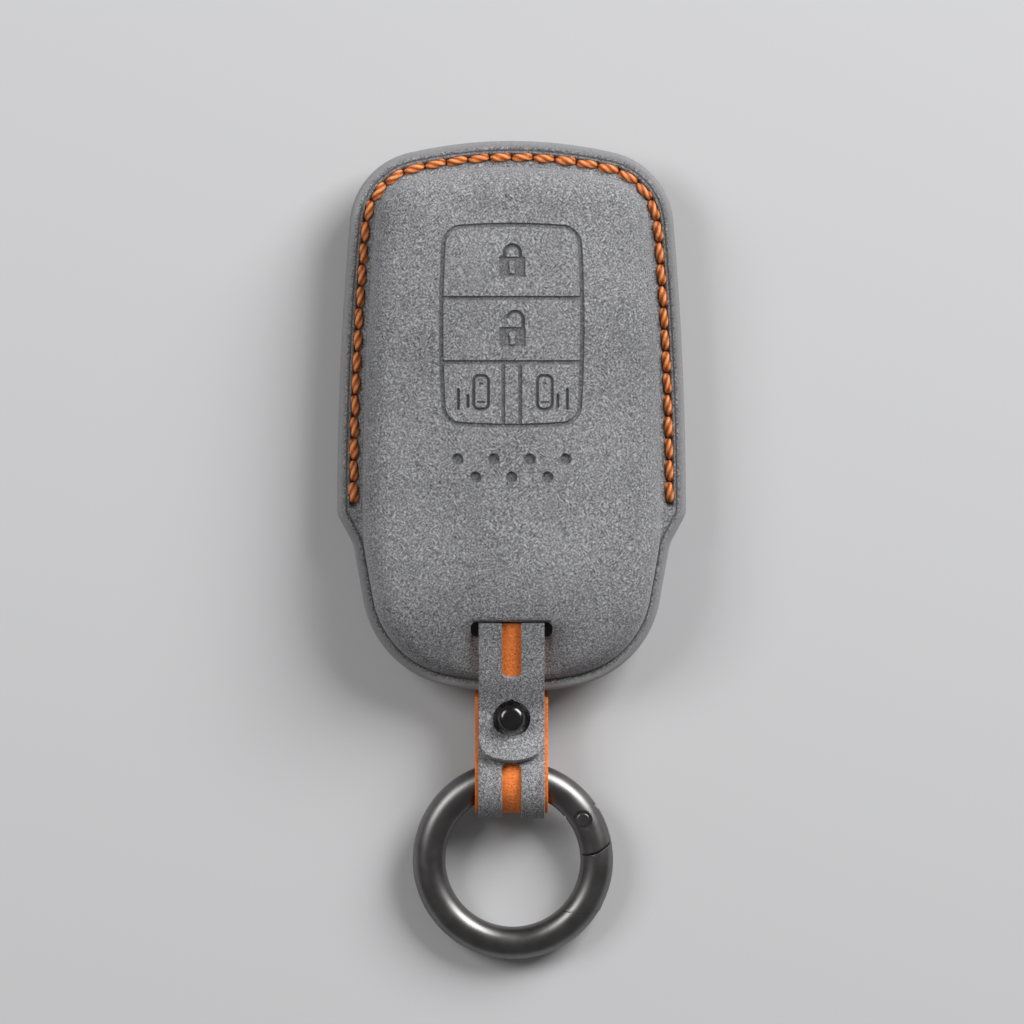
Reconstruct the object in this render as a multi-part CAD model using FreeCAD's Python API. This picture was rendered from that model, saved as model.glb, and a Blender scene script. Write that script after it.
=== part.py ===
import FreeCAD, Part
import math
import os

# Key fob cover in millimetres: x across, y towards the sewn end, z out of the front.
# The flat of the back lies on z = 0 and the ring hangs out along -y.

# cut tools and end faces run this far past what they cut
overrun = 3.0
# shorter stretches of a path are left out
least_length = 0.0005

# plies
shell_thick = 1.1
lining_thick = 0.5
half_seam_thick = shell_thick + lining_thick

# heights of the two halves from the seam plane
seam_z = 6.5
front_height = 10.0
back_height = seam_z
front_shoulder_radius = 4.5
back_shoulder_radius = 3.3
front_crown_radius = 160.0
front_toe_start_y = -20.0
front_toe_radius = 30.0
back_toe_start_y = -24.0
back_toe_radius = 32.0
foot_radius = 0.6
edge_radius = 0.7

# sewn edge in plan, one point per corner of its tangent outline;
# a bow takes its share of the run that the roundings beside it leave
edge_bottom_y = -42.02
edge_bottom_bow_share = 0.945
edge_toe_x = 20.24
edge_toe_y = -37.95
edge_toe_radius = 15.6
edge_step_in_x = 23.6
edge_step_in_y = -18.95
edge_step_in_radius = 5.0
edge_step_out_x = 26.0
edge_step_out_y = -14.5
edge_step_out_radius = 2.4
edge_side_x = 25.95
edge_side_y = 7.3
edge_side_bow_share = 0.957
edge_corner_x = 23.43
edge_corner_y = 37.47
edge_corner_radius = 11.5
edge_top_y = 42.81
edge_top_bow_share = 0.985

# foot of the raised pocket in plan
foot_bottom_y = -40.49
foot_bottom_bow_share = 0.954
foot_toe_x = 18.96
foot_toe_y = -36.61
foot_toe_radius = 14.1
foot_waist_x = 22.15
foot_waist_y = -18.5
foot_waist_radius = 20.0
foot_side_x = 22.1
foot_side_y = 7.3
foot_side_bow_share = 0.898
foot_corner_x = 19.88
foot_corner_y = 34.23
foot_corner_radius = 6.6
foot_top_y = 38.76
foot_top_bow_share = 0.945

# below this line the edges are not sewn and the mouth stays open
mouth_y = -15.0

# button panel, pressed lines and dimples
line_width = 0.6
line_depth = 0.25
panel_half_x = 10.0
panel_top_y = 27.95
panel_bottom_y = -0.95
panel_bulge = 0.5
panel_corner_radius = 2.2
panel_bow_radius = 90.0
panel_divide_ys = (17.55, 8.0)
strip_half_x = 1.25
dimple_radius = 0.82
dimple_depth = 0.4
dimple_pitch = 5.36
dimple_upper_y = -6.4
dimple_lower_y = -9.1
dimple_upper_count = 4
dimple_lower_count = 3

# seam
seam_inset = 2.45
seam_end_x = 25.98
seam_end_y = -13.0
stitch_pitch = 3.23
thread_radius = 0.52
thread_lift = 0.12
thread_leg_reach = 0.42
thread_tip_radius = 0.2
thread_tip_inset = 0.12
thread_knot = 0.25
thread_sides = 8
thread_full_shares = (0.25, 0.5, 0.75)
thread_quarter_share = 0.88
thread_clearance = 0.06
thread_side_clearance = 0.17

# strap: the lining is its inner face, the suede its outer face
strap_suede_thick = 0.8
strap_lining_thick = 0.7
strap_thick = strap_suede_thick + strap_lining_thick
strap_suede_width = 9.9
strap_lining_width = 10.9
slot_y = -30.6
slot_width = 12.2
slot_reach = 2.2
slot_corner_radius = 0.9
bed_width = 11.9
back_slot_reach = 3.0
strap_clearance = 0.15
strap_top_z = 11.5
strap_back_bend_z = 1.75
strap_back_bend_radius = 1.0
layer_z = 5.75
layer_gap = 0.04
layer_start_y = -43.4
layer_start_radius = 5.0
return_end_y = -42.3
pinch_y = -48.0
pinch_radius = 4.0
fold_end_y = -59.9
fold_radius = 3.75
window_width = 2.85
window_corner_radius = 0.9
window_start_y = -51.9

# tab
tab_width = 9.8
tab_gap = 0.1
tab_root_z = 12.55
tab_bend_y = -38.6
tab_bend_z = 10.0
tab_bend_radius = 9.0
tab_flat_radius = 4.2
tab_end_y = -51.4
tab_end_slope = 12.0
tab_end_radius = 8.0
tab_end_corner_radius = 4.0
tab_root_gap = 0.15
tab_window_end_y = -38.8
hole_radius = 2.85
hole_peak_y = 1.3
hole_peak_radius = 2.0

# ball stud and its screw
stud_y = -45.0
stud_ball_radius = 2.1
stud_ball_lift = 2.1
stud_neck_radius = 1.25
stud_base_radius = 1.85
stud_base_thick = 0.5
stud_post_radius = 1.6
stud_post_fit = 0.05
stud_bore_radius = 1.05
stud_bore_end = 0.4
screw_head_radius = 2.8
screw_seat_gap = 0.05
screw_head_thick = 0.8
screw_head_edge = 0.25
screw_radius = 1.0
screw_slot_width = 0.6
screw_slot_depth = 0.4

# ring, drawn flat about its own middle with the strap at +y
ring_radius = 12.5
wire_radius = 2.45
ring_x = 0.2
ring_y = -66.1
ring_floor_gap = 0.02
pivot_radius = 11.875
hinge_angle = 31.0
hinge_radius = 12.2
cheek_radius = 5.15
cheek_gap = 0.32
tongue_width = 2.0
slot_gap = 0.1
tail_radius = 2.55
tail_gap = 0.25
tail_flat = 2.1
gate_reach = 13.9
gate_gap = 0.14
gate_zone_angle = -80.0
pin_radius = 1.02
pin_fit = 0.05
pin_half_length = 2.36
pin_edge = 0.2
pin_ring_radius = 1.4
pin_ring_depth = 0.4
spring_turns = 5
spring_radius = 0.66
spring_wire_radius = 0.15
spring_bore_radius = 0.95
spring_start_angle = 43.2
spring_start_radius = 11.55
spring_end_angle = 63.0
spring_end_radius = 12.3
quarter_turns = 4

V = FreeCAD.Vector
x_axis = V(1, 0, 0)
z_axis = V(0, 0, 1)
origin = V(0, 0, 0)


def path_edges(axis, corners, radii, shift, closed=False):
    # lines joined by tangent arcs, all moved sideways to the left of the way they run
    count = len(corners)
    legs = count if closed else count - 1
    ways = []
    for i in range(legs):
        way = corners[(i + 1) % count].sub(corners[i])
        ways.append(way.normalize())
    stops = []
    for i in range(count):
        if not closed and i in (0, count - 1):
            side = axis.cross(ways[0] if i == 0 else ways[-1])
            point = corners[i].add(side.multiply(shift))
            stops.append((point, None, point))
            continue
        before = V(ways[i - 1])
        after = V(ways[i % legs])
        if radii[i] == 0:
            sides = axis.cross(before).add(axis.cross(after))
            point = corners[i].add(sides.multiply(shift / (1 + before.dot(after))))
            stops.append((point, None, point))
            continue
        turn = math.atan2(axis.dot(before.cross(after)), before.dot(after))
        hand = 1 if turn > 0 else -1
        reach = radii[i] * math.tan(abs(turn) / 2)
        start = corners[i].sub(V(before).multiply(reach))
        end = corners[i].add(V(after).multiply(reach))
        centre = start.add(axis.cross(before).multiply(hand * radii[i]))
        out = corners[i].sub(centre).normalize()
        middle = centre.add(out.multiply(radii[i] - hand * shift))
        start = start.add(axis.cross(before).multiply(shift))
        end = end.add(axis.cross(after).multiply(shift))
        stops.append((start, middle, end))
    edges = []
    for i in range(count):
        start, middle, end = stops[i]
        if middle is not None and start.distanceToPoint(end) > least_length:
            edges.append(Part.Arc(start, middle, end).toShape())
        if i < legs:
            following = stops[(i + 1) % count][0]
            if end.distanceToPoint(following) > least_length:
                edges.append(Part.LineSegment(end, following).toShape())
    return edges


def closed_face(axis, corners, radii, inset):
    edges = path_edges(axis, corners, radii, inset, True)
    return Part.Face(Part.Wire(Part.__sortEdges__(edges)))


def band_face(axis, corners, radii, low, high):
    # strip between two sideways shifts of one open path
    lower = path_edges(axis, corners, radii, low)
    upper = path_edges(axis, corners, radii, high)
    first = Part.LineSegment(lower[0].firstVertex(True).Point, upper[0].firstVertex(True).Point)
    last = Part.LineSegment(lower[-1].lastVertex(True).Point, upper[-1].lastVertex(True).Point)
    edges = lower + upper + [first.toShape(), last.toShape()]
    return Part.Face(Part.Wire(Part.__sortEdges__(edges)))


def mirrored(half):
    # half outline from the bottom up the right side, closed by its mirror image
    left = [V(-p.x, p.y, p.z) for p in reversed(half[1:-1])]
    return half + left


def mirrored_list(half):
    return half + list(reversed(half[1:-1]))


def rounding_reach(corners, i, radius):
    # run that a rounding takes up on each side of its corner
    before = corners[i].sub(corners[i - 1])
    after = corners[(i + 1) % len(corners)].sub(corners[i])
    return radius * math.tan(before.getAngle(after) / 2)


def with_bows(corners, radii, shares):
    # a long bow is fitted between the roundings on both sides of it
    fitted = list(radii)
    for i, share in enumerate(shares):
        if share:
            runs = []
            for j in (i - 1, (i + 1) % len(corners)):
                taken = rounding_reach(corners, j, radii[j])
                runs.append(corners[i].distanceToPoint(corners[j]) - taken)
            fitted[i] = share * min(runs) / rounding_reach(corners, i, 1)
    return fitted


def prism(face, low, high):
    solid = face.extrude(V(0, 0, high - low))
    solid.translate(V(0, 0, low))
    return solid


def across(face, width):
    solid = face.extrude(V(width, 0, 0))
    solid.translate(V(-width / 2, 0, 0))
    return solid


def rounded_box(half_x, low_y, high_y, radius, low_z, high_z):
    corners = [V(-half_x, low_y, 0), V(half_x, low_y, 0), V(half_x, high_y, 0), V(-half_x, high_y, 0)]
    face = closed_face(z_axis, corners, [radius] * len(corners), 0)
    return prism(face, low_z, high_z)


def largest(shape):
    return max(shape.Solids, key=lambda s: s.Volume)


edge_half = [
    V(0, edge_bottom_y, 0),
    V(edge_toe_x, edge_toe_y, 0),
    V(edge_step_in_x, edge_step_in_y, 0),
    V(edge_step_out_x, edge_step_out_y, 0),
    V(edge_side_x, edge_side_y, 0),
    V(edge_corner_x, edge_corner_y, 0),
    V(0, edge_top_y, 0),
]
edge_half_radii = [0, edge_toe_radius, edge_step_in_radius, edge_step_out_radius, 0, edge_corner_radius, 0]
edge_bow_shares = [edge_bottom_bow_share, 0, 0, 0, edge_side_bow_share, 0, edge_top_bow_share]
edge_corners = mirrored(edge_half)
edge_radii = with_bows(edge_corners, mirrored_list(edge_half_radii), mirrored_list(edge_bow_shares))

foot_half = [
    V(0, foot_bottom_y, 0),
    V(foot_toe_x, foot_toe_y, 0),
    V(foot_waist_x, foot_waist_y, 0),
    V(foot_side_x, foot_side_y, 0),
    V(foot_corner_x, foot_corner_y, 0),
    V(0, foot_top_y, 0),
]
foot_half_radii = [0, foot_toe_radius, foot_waist_radius, 0, foot_corner_radius, 0]
foot_bow_shares = [foot_bottom_bow_share, 0, 0, foot_side_bow_share, 0, foot_top_bow_share]
foot_corners = mirrored(foot_half)
foot_radii = with_bows(foot_corners, mirrored_list(foot_half_radii), mirrored_list(foot_bow_shares))


def pocket(height, crown, toe_start, toe_radius, shoulder, depth):
    # one raised half over the seam plane, its skin taken down by depth
    plan = prism(closed_face(z_axis, foot_corners, foot_radii, depth), 0, height + overrun)
    half_x = foot_side_x + overrun
    top = height - depth
    if crown:
        drop = crown - math.sqrt(crown ** 2 - half_x ** 2)
        low = height - drop - depth
        left = V(-half_x, toe_start, low)
        right = V(half_x, toe_start, low)
        ridge = Part.Arc(left, V(0, toe_start, top), right).toShape()
    else:
        left = V(-half_x, toe_start, top)
        right = V(half_x, toe_start, top)
        ridge = Part.LineSegment(left, right).toShape()
    ends = [V(half_x, toe_start, 0), V(-half_x, toe_start, 0)]
    rim = Part.makePolygon([right] + ends + [left])
    section = Part.Face(Part.Wire(Part.__sortEdges__([ridge] + rim.Edges)))
    plateau = section.extrude(V(0, foot_top_y + overrun - toe_start, 0))
    # the toe turns the same section down about a line across the cover
    toe_z = height - toe_radius
    toe_side = math.degrees(math.asin((toe_start - foot_bottom_y) / toe_radius))
    turned = section.revolve(V(0, toe_start, toe_z), x_axis, toe_side)
    body = plateau.fuse(turned).removeSplitter()
    body = largest(plan.common(body))
    rounded = []
    for edge in body.Edges:
        ends_z = [v.Z for v in edge.Vertexes]
        upright = abs(edge.BoundBox.ZLength) > abs(edge.BoundBox.XLength) + abs(edge.BoundBox.YLength)
        across_toe = edge.BoundBox.XLength > foot_toe_x + foot_side_x - overrun
        inner = across_toe and edge.BoundBox.YLength < least_length
        if min(ends_z) > least_length and not upright and not inner:
            rounded.append(edge)
    return body.makeFillet(shoulder - depth, rounded)


def front_pocket(depth):
    return pocket(
        front_height, front_crown_radius, front_toe_start_y, front_toe_radius, front_shoulder_radius, depth
    )


def back_pocket(depth):
    return pocket(back_height, None, back_toe_start_y, back_toe_radius, back_shoulder_radius, depth)


def sewn_plate(low, high, rounding):
    plate = prism(closed_face(z_axis, edge_corners, edge_radii, 0), low, high)
    if rounding:
        rim = [e for e in plate.Edges if min(v.Z for v in e.Vertexes) > high - least_length]
        plate = plate.makeFillet(rounding, rim)
    return plate


def region_over(corners, radii, shift, height, width):
    # everything over a path in the plane across the cover, for the strap's pressed bed
    lower = path_edges(x_axis, corners, radii, shift)
    first = lower[0].firstVertex(True).Point
    last = lower[-1].lastVertex(True).Point
    rim = Part.makePolygon([last, V(0, last.y, height), V(0, first.y, height), first])
    face = Part.Face(Part.Wire(Part.__sortEdges__(lower + rim.Edges)))
    return across(face, width)




def to_front(shape):
    moved = shape.copy()
    moved.translate(V(0, 0, seam_z))
    return moved


def to_back(shape):
    return to_front(shape.mirror(origin, z_axis))


def half_cover(pockets, beds, slot, place):
    # one moulded half as its outer ply and its lining, each with the bed and the slot
    levels = []
    for pressed, bed in zip(pockets, beds):
        levels.append(place(pressed).cut(bed))
    edge_wire = Part.Wire(path_edges(z_axis, edge_corners, edge_radii, 0, True))
    plate = sewn_plate(lining_thick, half_seam_thick, edge_radius)
    lower = prism(closed_face(z_axis, foot_corners, foot_radii, -overrun), -overrun, lining_thick)
    raised = plate.fuse(pockets[0].cut(lower)).removeSplitter()
    foot = []
    for edge in raised.Edges:
        flat = all(abs(v.Z - half_seam_thick) < least_length for v in edge.Vertexes)
        middle = edge.valueAt((edge.FirstParameter + edge.LastParameter) / 2)
        flat = flat and abs(middle.z - half_seam_thick) < least_length
        seat = V(middle.x, middle.y, 0)
        away = Part.Vertex(seat).distToShape(edge_wire)[0]
        if flat and away > edge_radius + least_length:
            foot.append(edge)
    raised = raised.makeFillet(foot_radius, foot)
    shell = place(raised).cut(beds[0]).cut(levels[1]).cut(slot)
    ply = place(sewn_plate(0, lining_thick, 0)).fuse(levels[1]).cut(levels[2]).cut(slot)
    mouth_end = edge_bottom_y - overrun
    mouth = Part.makeBox(
        edge_step_out_x * 2,
        mouth_y - mouth_end,
        lining_thick + overrun,
        V(-edge_step_out_x, mouth_end, -overrun),
    )
    ply = ply.cut(place(mouth))
    return largest(shell), largest(ply)


# tab path along its lining face, from the free end up to the slot
return_z = layer_z + layer_gap
layer_top_z = return_z + strap_thick
tab_flat_z = layer_top_z + tab_gap
fold_y = fold_end_y + strap_thick + fold_radius
fold_z = strap_thick + fold_radius
fold_away = math.hypot(pinch_y - fold_y, layer_z - fold_z)
fold_dip = math.atan2(layer_z - fold_z, pinch_y - fold_y)
fold_spread = math.asin(fold_radius / fold_away)
rise_angle = fold_spread - fold_dip
fall_angle = fold_spread + fold_dip
tab_turn_y = pinch_y + (strap_thick + tab_gap) * math.tan(rise_angle / 2)
tab_root_y = slot_y - tab_root_gap
tab_tip_y = tab_end_y - overrun
tab_tip_z = tab_flat_z + (tab_turn_y - tab_tip_y) * math.tan(rise_angle)
tab_corners = [
    V(0, tab_tip_y, tab_tip_z),
    V(0, tab_turn_y, tab_flat_z),
    V(0, layer_start_y, tab_flat_z),
    V(0, tab_bend_y, tab_bend_z),
    V(0, tab_root_y, tab_root_z),
]
tab_turn_radius = pinch_radius - strap_thick - tab_gap
tab_radii = [0, tab_turn_radius, tab_flat_radius, tab_bend_radius, 0]

# strap path along its lining face, from inside the cover round the ring and back
strap_y = tab_root_y - strap_thick
fold_low_z = fold_z - fold_radius * math.tan((math.pi / 2 + fall_angle) / 2)
fold_high_z = fold_z + fold_radius * math.tan((math.pi / 2 + rise_angle) / 2)
strap_corners = [
    V(0, strap_y, strap_top_z),
    V(0, strap_y, strap_back_bend_z),
    V(0, layer_start_y, layer_z),
    V(0, pinch_y, layer_z),
    V(0, fold_y - fold_radius, fold_low_z),
    V(0, fold_y - fold_radius, fold_high_z),
    V(0, pinch_y, return_z),
    V(0, return_end_y, return_z),
]
strap_radii = [
    0,
    strap_back_bend_radius,
    layer_start_radius,
    pinch_radius,
    fold_radius,
    fold_radius,
    pinch_radius,
    0,
]

# beds that the strap and the tab press into the two halves, grown ply by ply
depths = (0, shell_thick, half_seam_thick)
front_beds = []
back_beds = []
strap_slope = (layer_z - strap_back_bend_z) / (strap_y - layer_start_y)
strap_slot_z = strap_back_bend_z - (slot_y - strap_y) * strap_slope
tab_bed = [V(0, slot_y, tab_root_z) if p is tab_corners[-1] else p for p in tab_corners[2:]]
back_bed = [V(0, layer_start_y, layer_z), V(0, slot_y, strap_slot_z)]
front_top_z = seam_z + front_height
for depth in depths:
    shift = strap_clearance + depth
    width = bed_width + depth * 2
    front_beds.append(region_over(tab_bed, tab_radii[2:], -shift, front_top_z + overrun, width))
    back_beds.append(region_over(back_bed, (0, 0), shift, -overrun, width))

front_slot = rounded_box(
    slot_width / 2, slot_y - slot_reach, slot_y, slot_corner_radius, seam_z, front_top_z + overrun
)
back_slot = rounded_box(
    slot_width / 2, slot_y - back_slot_reach, slot_y, slot_corner_radius, -overrun, seam_z
)
front_shell, front_lining = half_cover(
    [front_pocket(depth) for depth in depths], front_beds, front_slot, to_front
)
back_shell, back_lining = half_cover(
    [back_pocket(depth) for depth in depths], back_beds, back_slot, to_back
)


def ribbon(corners, radii, low, high, width):
    return across(band_face(x_axis, corners, radii, low, high), width)


def post_at(y, radius, low, high):
    return Part.makeCylinder(radius, high - low, V(0, y, low), z_axis)


nodes = {}
strap_lining = ribbon(strap_corners, strap_radii, 0, strap_lining_thick, strap_lining_width)
strap_suede = ribbon(strap_corners, strap_radii, strap_lining_thick, strap_thick, strap_suede_width)
window = rounded_box(
    window_width / 2, fold_end_y - overrun, window_start_y, window_corner_radius, -overrun, front_top_z
)
strap_suede = strap_suede.cut(window)
stud_hole = post_at(stud_y, stud_post_radius + stud_post_fit, 0, layer_top_z + overrun)
strap_lining = strap_lining.cut(stud_hole)
stud_low_z = layer_z - strap_thick
screw_seat = post_at(stud_y, screw_head_radius + screw_seat_gap, 0, stud_low_z)
strap_suede = strap_suede.cut(stud_hole).cut(screw_seat)

tab_half = tab_width / 2
tab_slope = math.radians(tab_end_slope)
tab_apex_y = tab_end_y - tab_end_radius * (1 / math.cos(tab_slope) - 1)
tab_side_y = tab_apex_y + tab_half * math.tan(tab_slope)
tab_plan_corners = [
    V(0, tab_apex_y, 0),
    V(tab_half, tab_side_y, 0),
    V(tab_half, slot_y + overrun, 0),
    V(-tab_half, slot_y + overrun, 0),
    V(-tab_half, tab_side_y, 0),
]
tab_plan_radii = [tab_end_radius, tab_end_corner_radius, 0, 0, tab_end_corner_radius]
tab_plan = prism(closed_face(z_axis, tab_plan_corners, tab_plan_radii, 0), 0, front_top_z + overrun)

# buttonhole: two rounds and the piece between their common tangents
hole_side = math.asin((hole_radius - hole_peak_radius) / hole_peak_y)
hole_cos = math.cos(hole_side)
hole_sin = math.sin(hole_side)
low_tangent = V(hole_radius * hole_cos, stud_y + hole_radius * hole_sin, 0)
high_tangent = V(hole_peak_radius * hole_cos, stud_y + hole_peak_y + hole_peak_radius * hole_sin, 0)
left_high = V(-high_tangent.x, high_tangent.y, 0)
left_low = V(-low_tangent.x, low_tangent.y, 0)
hole_rim = Part.makePolygon([low_tangent, high_tangent, left_high, left_low, low_tangent])
tab_hole = prism(Part.Face(hole_rim), 0, front_top_z)
tab_hole = tab_hole.fuse(post_at(stud_y, hole_radius, 0, front_top_z))
tab_hole = tab_hole.fuse(post_at(stud_y + hole_peak_y, hole_peak_radius, 0, front_top_z))

tab_lining = ribbon(tab_corners, tab_radii, 0, strap_lining_thick, tab_width)
tab_suede = ribbon(tab_corners, tab_radii, strap_lining_thick, strap_thick, tab_width)
tab_window = rounded_box(
    window_width / 2, tab_window_end_y, slot_y + overrun, window_corner_radius, 0, front_top_z + overrun
)
tab_lining = tab_lining.common(tab_plan).cut(tab_hole)
tab_suede = tab_suede.common(tab_plan).cut(tab_hole).cut(tab_window)

# ball stud over the return layer, screw from under the back layer
ball_z = layer_top_z + stud_ball_lift
ball_stud = Part.makeSphere(stud_ball_radius, V(0, stud_y, ball_z))
ball_stud = ball_stud.fuse(post_at(stud_y, stud_neck_radius, layer_top_z, ball_z))
ball_stud = ball_stud.fuse(post_at(stud_y, stud_base_radius, layer_top_z, layer_top_z + stud_base_thick))
ball_stud = ball_stud.fuse(post_at(stud_y, stud_post_radius, stud_low_z, layer_top_z))
stud_bore = post_at(stud_y, stud_bore_radius, stud_low_z - overrun, layer_top_z + stud_bore_end)
ball_stud = ball_stud.cut(stud_bore)
ball_stud = ball_stud.removeSplitter()
screw_head = post_at(stud_y, screw_head_radius, stud_low_z - screw_head_thick, stud_low_z)
head_rim = [e for e in screw_head.Edges if e.BoundBox.ZMax < stud_low_z - least_length]
screw_head = screw_head.makeFillet(screw_head_edge, head_rim)
stud_screw = screw_head.fuse(post_at(stud_y, screw_radius, stud_low_z, layer_top_z))
driver_slot = Part.makeBox(
    screw_head_radius * 2 + overrun,
    screw_slot_width,
    screw_slot_depth + overrun,
    V(
        -screw_head_radius - overrun / 2,
        stud_y - screw_slot_width / 2,
        stud_low_z - screw_head_thick - overrun,
    ),
)
stud_screw = stud_screw.cut(driver_slot)

# seam: a row of holes, a groove on each face and two threads that meet in the holes
seam_half = [
    V(seam_end_x, seam_end_y, 0),
    V(edge_side_x, edge_side_y, 0),
    V(edge_corner_x, edge_corner_y, 0),
    V(0, edge_top_y, 0),
]
seam_corners = seam_half + [V(-p.x, p.y, 0) for p in reversed(seam_half[:-1])]
seam_radii = [0] + edge_radii[edge_half.index(seam_half[1]):len(edge_half)]
seam_radii = seam_radii + list(reversed(seam_radii[:-1]))
seam_wire = Part.Wire(path_edges(z_axis, seam_corners, seam_radii, seam_inset))
stitch_count = round(seam_wire.Length / stitch_pitch)
holes = seam_wire.discretize(Number=stitch_count + 1)
stitch_z = half_seam_thick + thread_lift
groove_half = thread_radius + thread_side_clearance
groove_z = stitch_z - thread_radius - thread_clearance
groove_end_y = seam_end_y - groove_half
groove_corners = [V(p.x, groove_end_y, 0) if p.y == seam_end_y else p for p in seam_corners]
groove_outer = seam_inset - groove_half
groove_inner = seam_inset + groove_half
groove_face = band_face(z_axis, groove_corners, seam_radii, groove_outer, groove_inner)
groove = prism(groove_face, groove_z, half_seam_thick + overrun)


def pricked(i, reach, low, high):
    # hole i of the row, a diamond with its long corner along the seam
    way = holes[min(i + 1, stitch_count)].sub(holes[max(i - 1, 0)]).normalize().multiply(reach)
    side = z_axis.cross(way)
    rim = [holes[i].add(way), holes[i].add(side), holes[i].sub(way), holes[i].sub(side)]
    return prism(Part.Face(Part.makePolygon(rim + rim[:1])), low, high)


drill = []
for i in range(len(holes)):
    drill.append(pricked(i, thread_leg_reach + thread_clearance, 0, half_seam_thick + overrun))
drill = Part.makeCompound(drill)


def thread_section(middle, way, radius):
    side = z_axis.cross(way)
    rim = []
    for i in range(thread_sides):
        angle = math.tau * i / thread_sides
        out = V(side).multiply(math.cos(angle)).add(V(z_axis).multiply(math.sin(angle)))
        rim.append(middle.add(out.multiply(radius)))
    return Part.makePolygon(rim + rim[:1])


def stitch(start, end):
    # fullest in the middle and drawn in at each hole
    way = end.sub(start).normalize()
    start = start.add(V(way).multiply(thread_tip_inset))
    end = end.sub(V(way).multiply(thread_tip_inset))
    radii = [thread_radius * share for share in (thread_quarter_share, 1, thread_quarter_share)]
    sections = [thread_section(start, way, thread_tip_radius)]
    for share, radius in zip(thread_full_shares, radii):
        middle = start.add(end.sub(start).multiply(share))
        sections.append(thread_section(middle, way, radius))
    sections.append(thread_section(end, way, thread_tip_radius))
    return Part.makeLoft(sections, True, True)


pieces = []
for first, second in zip(holes[:-1], holes[1:]):
    pieces.append(stitch(V(first.x, first.y, stitch_z), V(second.x, second.y, stitch_z)))
for i in range(len(holes)):
    pieces.append(pricked(i, thread_leg_reach, 0, stitch_z + thread_knot))
thread = pieces[0].multiFuse(pieces[1:])

front_shell = front_shell.cut(to_front(groove)).cut(to_front(drill))
front_lining = front_lining.cut(to_front(drill))
back_shell = back_shell.cut(to_back(groove)).cut(to_back(drill))
back_lining = back_lining.cut(to_back(drill))

# pressed lines of the button panel and the dimples, cut to one depth below the crown
line_half = line_width / 2
bow_reach = panel_bulge
panel_corners = [
    V(-panel_half_x, panel_bottom_y, 0),
    V(0, panel_bottom_y - bow_reach, 0),
    V(panel_half_x, panel_bottom_y, 0),
    V(panel_half_x + bow_reach, (panel_top_y + panel_bottom_y) / 2, 0),
    V(panel_half_x, panel_top_y, 0),
    V(0, panel_top_y + bow_reach, 0),
    V(-panel_half_x, panel_top_y, 0),
    V(-panel_half_x - bow_reach, (panel_top_y + panel_bottom_y) / 2, 0),
]
panel_radii = [panel_corner_radius, panel_bow_radius] * (len(panel_corners) // 2)
panel_face = closed_face(z_axis, panel_corners, panel_radii, -line_half)
panel_inner = closed_face(z_axis, panel_corners, panel_radii, line_half)
marks = [prism(panel_face, 0, front_height + overrun).cut(prism(panel_inner, 0, front_height + overrun))]
for y in panel_divide_ys:
    marks.append(
        Part.makeBox(
            panel_half_x * 2, line_width, front_height + overrun, V(-panel_half_x, y - line_half, 0)
        )
    )
strip_low_y = panel_bottom_y - bow_reach / 2
for x in (-strip_half_x, strip_half_x):
    marks.append(
        Part.makeBox(
            line_width,
            panel_divide_ys[-1] - strip_low_y,
            front_height + overrun,
            V(x - line_half, strip_low_y, 0),
        )
    )
lines = marks[0].multiFuse(marks[1:])
dimples = []
for count, y in ((dimple_upper_count, dimple_upper_y), (dimple_lower_count, dimple_lower_y)):
    for i in range(count):
        x = (i - (count - 1) / 2) * dimple_pitch
        dimples.append(Part.makeCylinder(dimple_radius, front_height + overrun, V(x, y, 0)))
dimples = Part.makeCompound(dimples)
front_shell = front_shell.cut(to_front(lines.cut(front_pocket(line_depth))))
front_shell = front_shell.cut(to_front(dimples.cut(front_pocket(dimple_depth))))

# ring, gate, pin and spring, drawn flat
hinge = V(
    hinge_radius * math.cos(math.radians(hinge_angle)), hinge_radius * math.sin(math.radians(hinge_angle)), 0
)
ring_reach = ring_radius + wire_radius + overrun
half_tall = wire_radius + overrun


def about_hinge(radius, half_length=half_tall):
    return Part.makeCylinder(radius, half_length * 2, V(hinge.x, hinge.y, -half_length), z_axis)


def flat_slab(half_width):
    return Part.makeBox(
        ring_reach * 2, ring_reach * 2, half_width * 2, V(-ring_reach, -ring_reach, -half_width)
    )


def on_ring(angle, radius):
    side = math.radians(angle)
    return V(radius * math.cos(side), radius * math.sin(side), 0)


torus = Part.makeTorus(ring_radius, wire_radius)
gate_sweep = hinge_angle - gate_zone_angle
gate_side = Part.makeCylinder(ring_reach, half_tall * 2, V(0, 0, -half_tall), z_axis, gate_sweep)
gate_side.rotate(origin, z_axis, gate_zone_angle)
gate_space = gate_side.common(about_hinge(gate_reach + gate_gap)).cut(about_hinge(cheek_radius))
ring_body = torus.cut(gate_space)
slot_space = about_hinge(tail_radius + tail_gap).fuse(gate_side.common(about_hinge(gate_reach)))
ring_body = ring_body.cut(slot_space.common(flat_slab(tongue_width / 2 + slot_gap)))
pin_core = about_hinge(pin_ring_radius + overrun, wire_radius - pin_ring_depth)
pin_rings = about_hinge(pin_ring_radius).cut(pin_core)
ring_body = ring_body.cut(pin_rings).cut(about_hinge(pin_radius))

spring_start = on_ring(spring_start_angle, spring_start_radius)
spring_end = on_ring(spring_end_angle, spring_end_radius)
spring_way = spring_end.sub(spring_start)
spring_length = spring_way.Length
spring_way = spring_way.normalize()
spring_bore = Part.makeCylinder(spring_bore_radius, spring_length, spring_start, spring_way)
ring_body = ring_body.cut(spring_bore)

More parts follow.
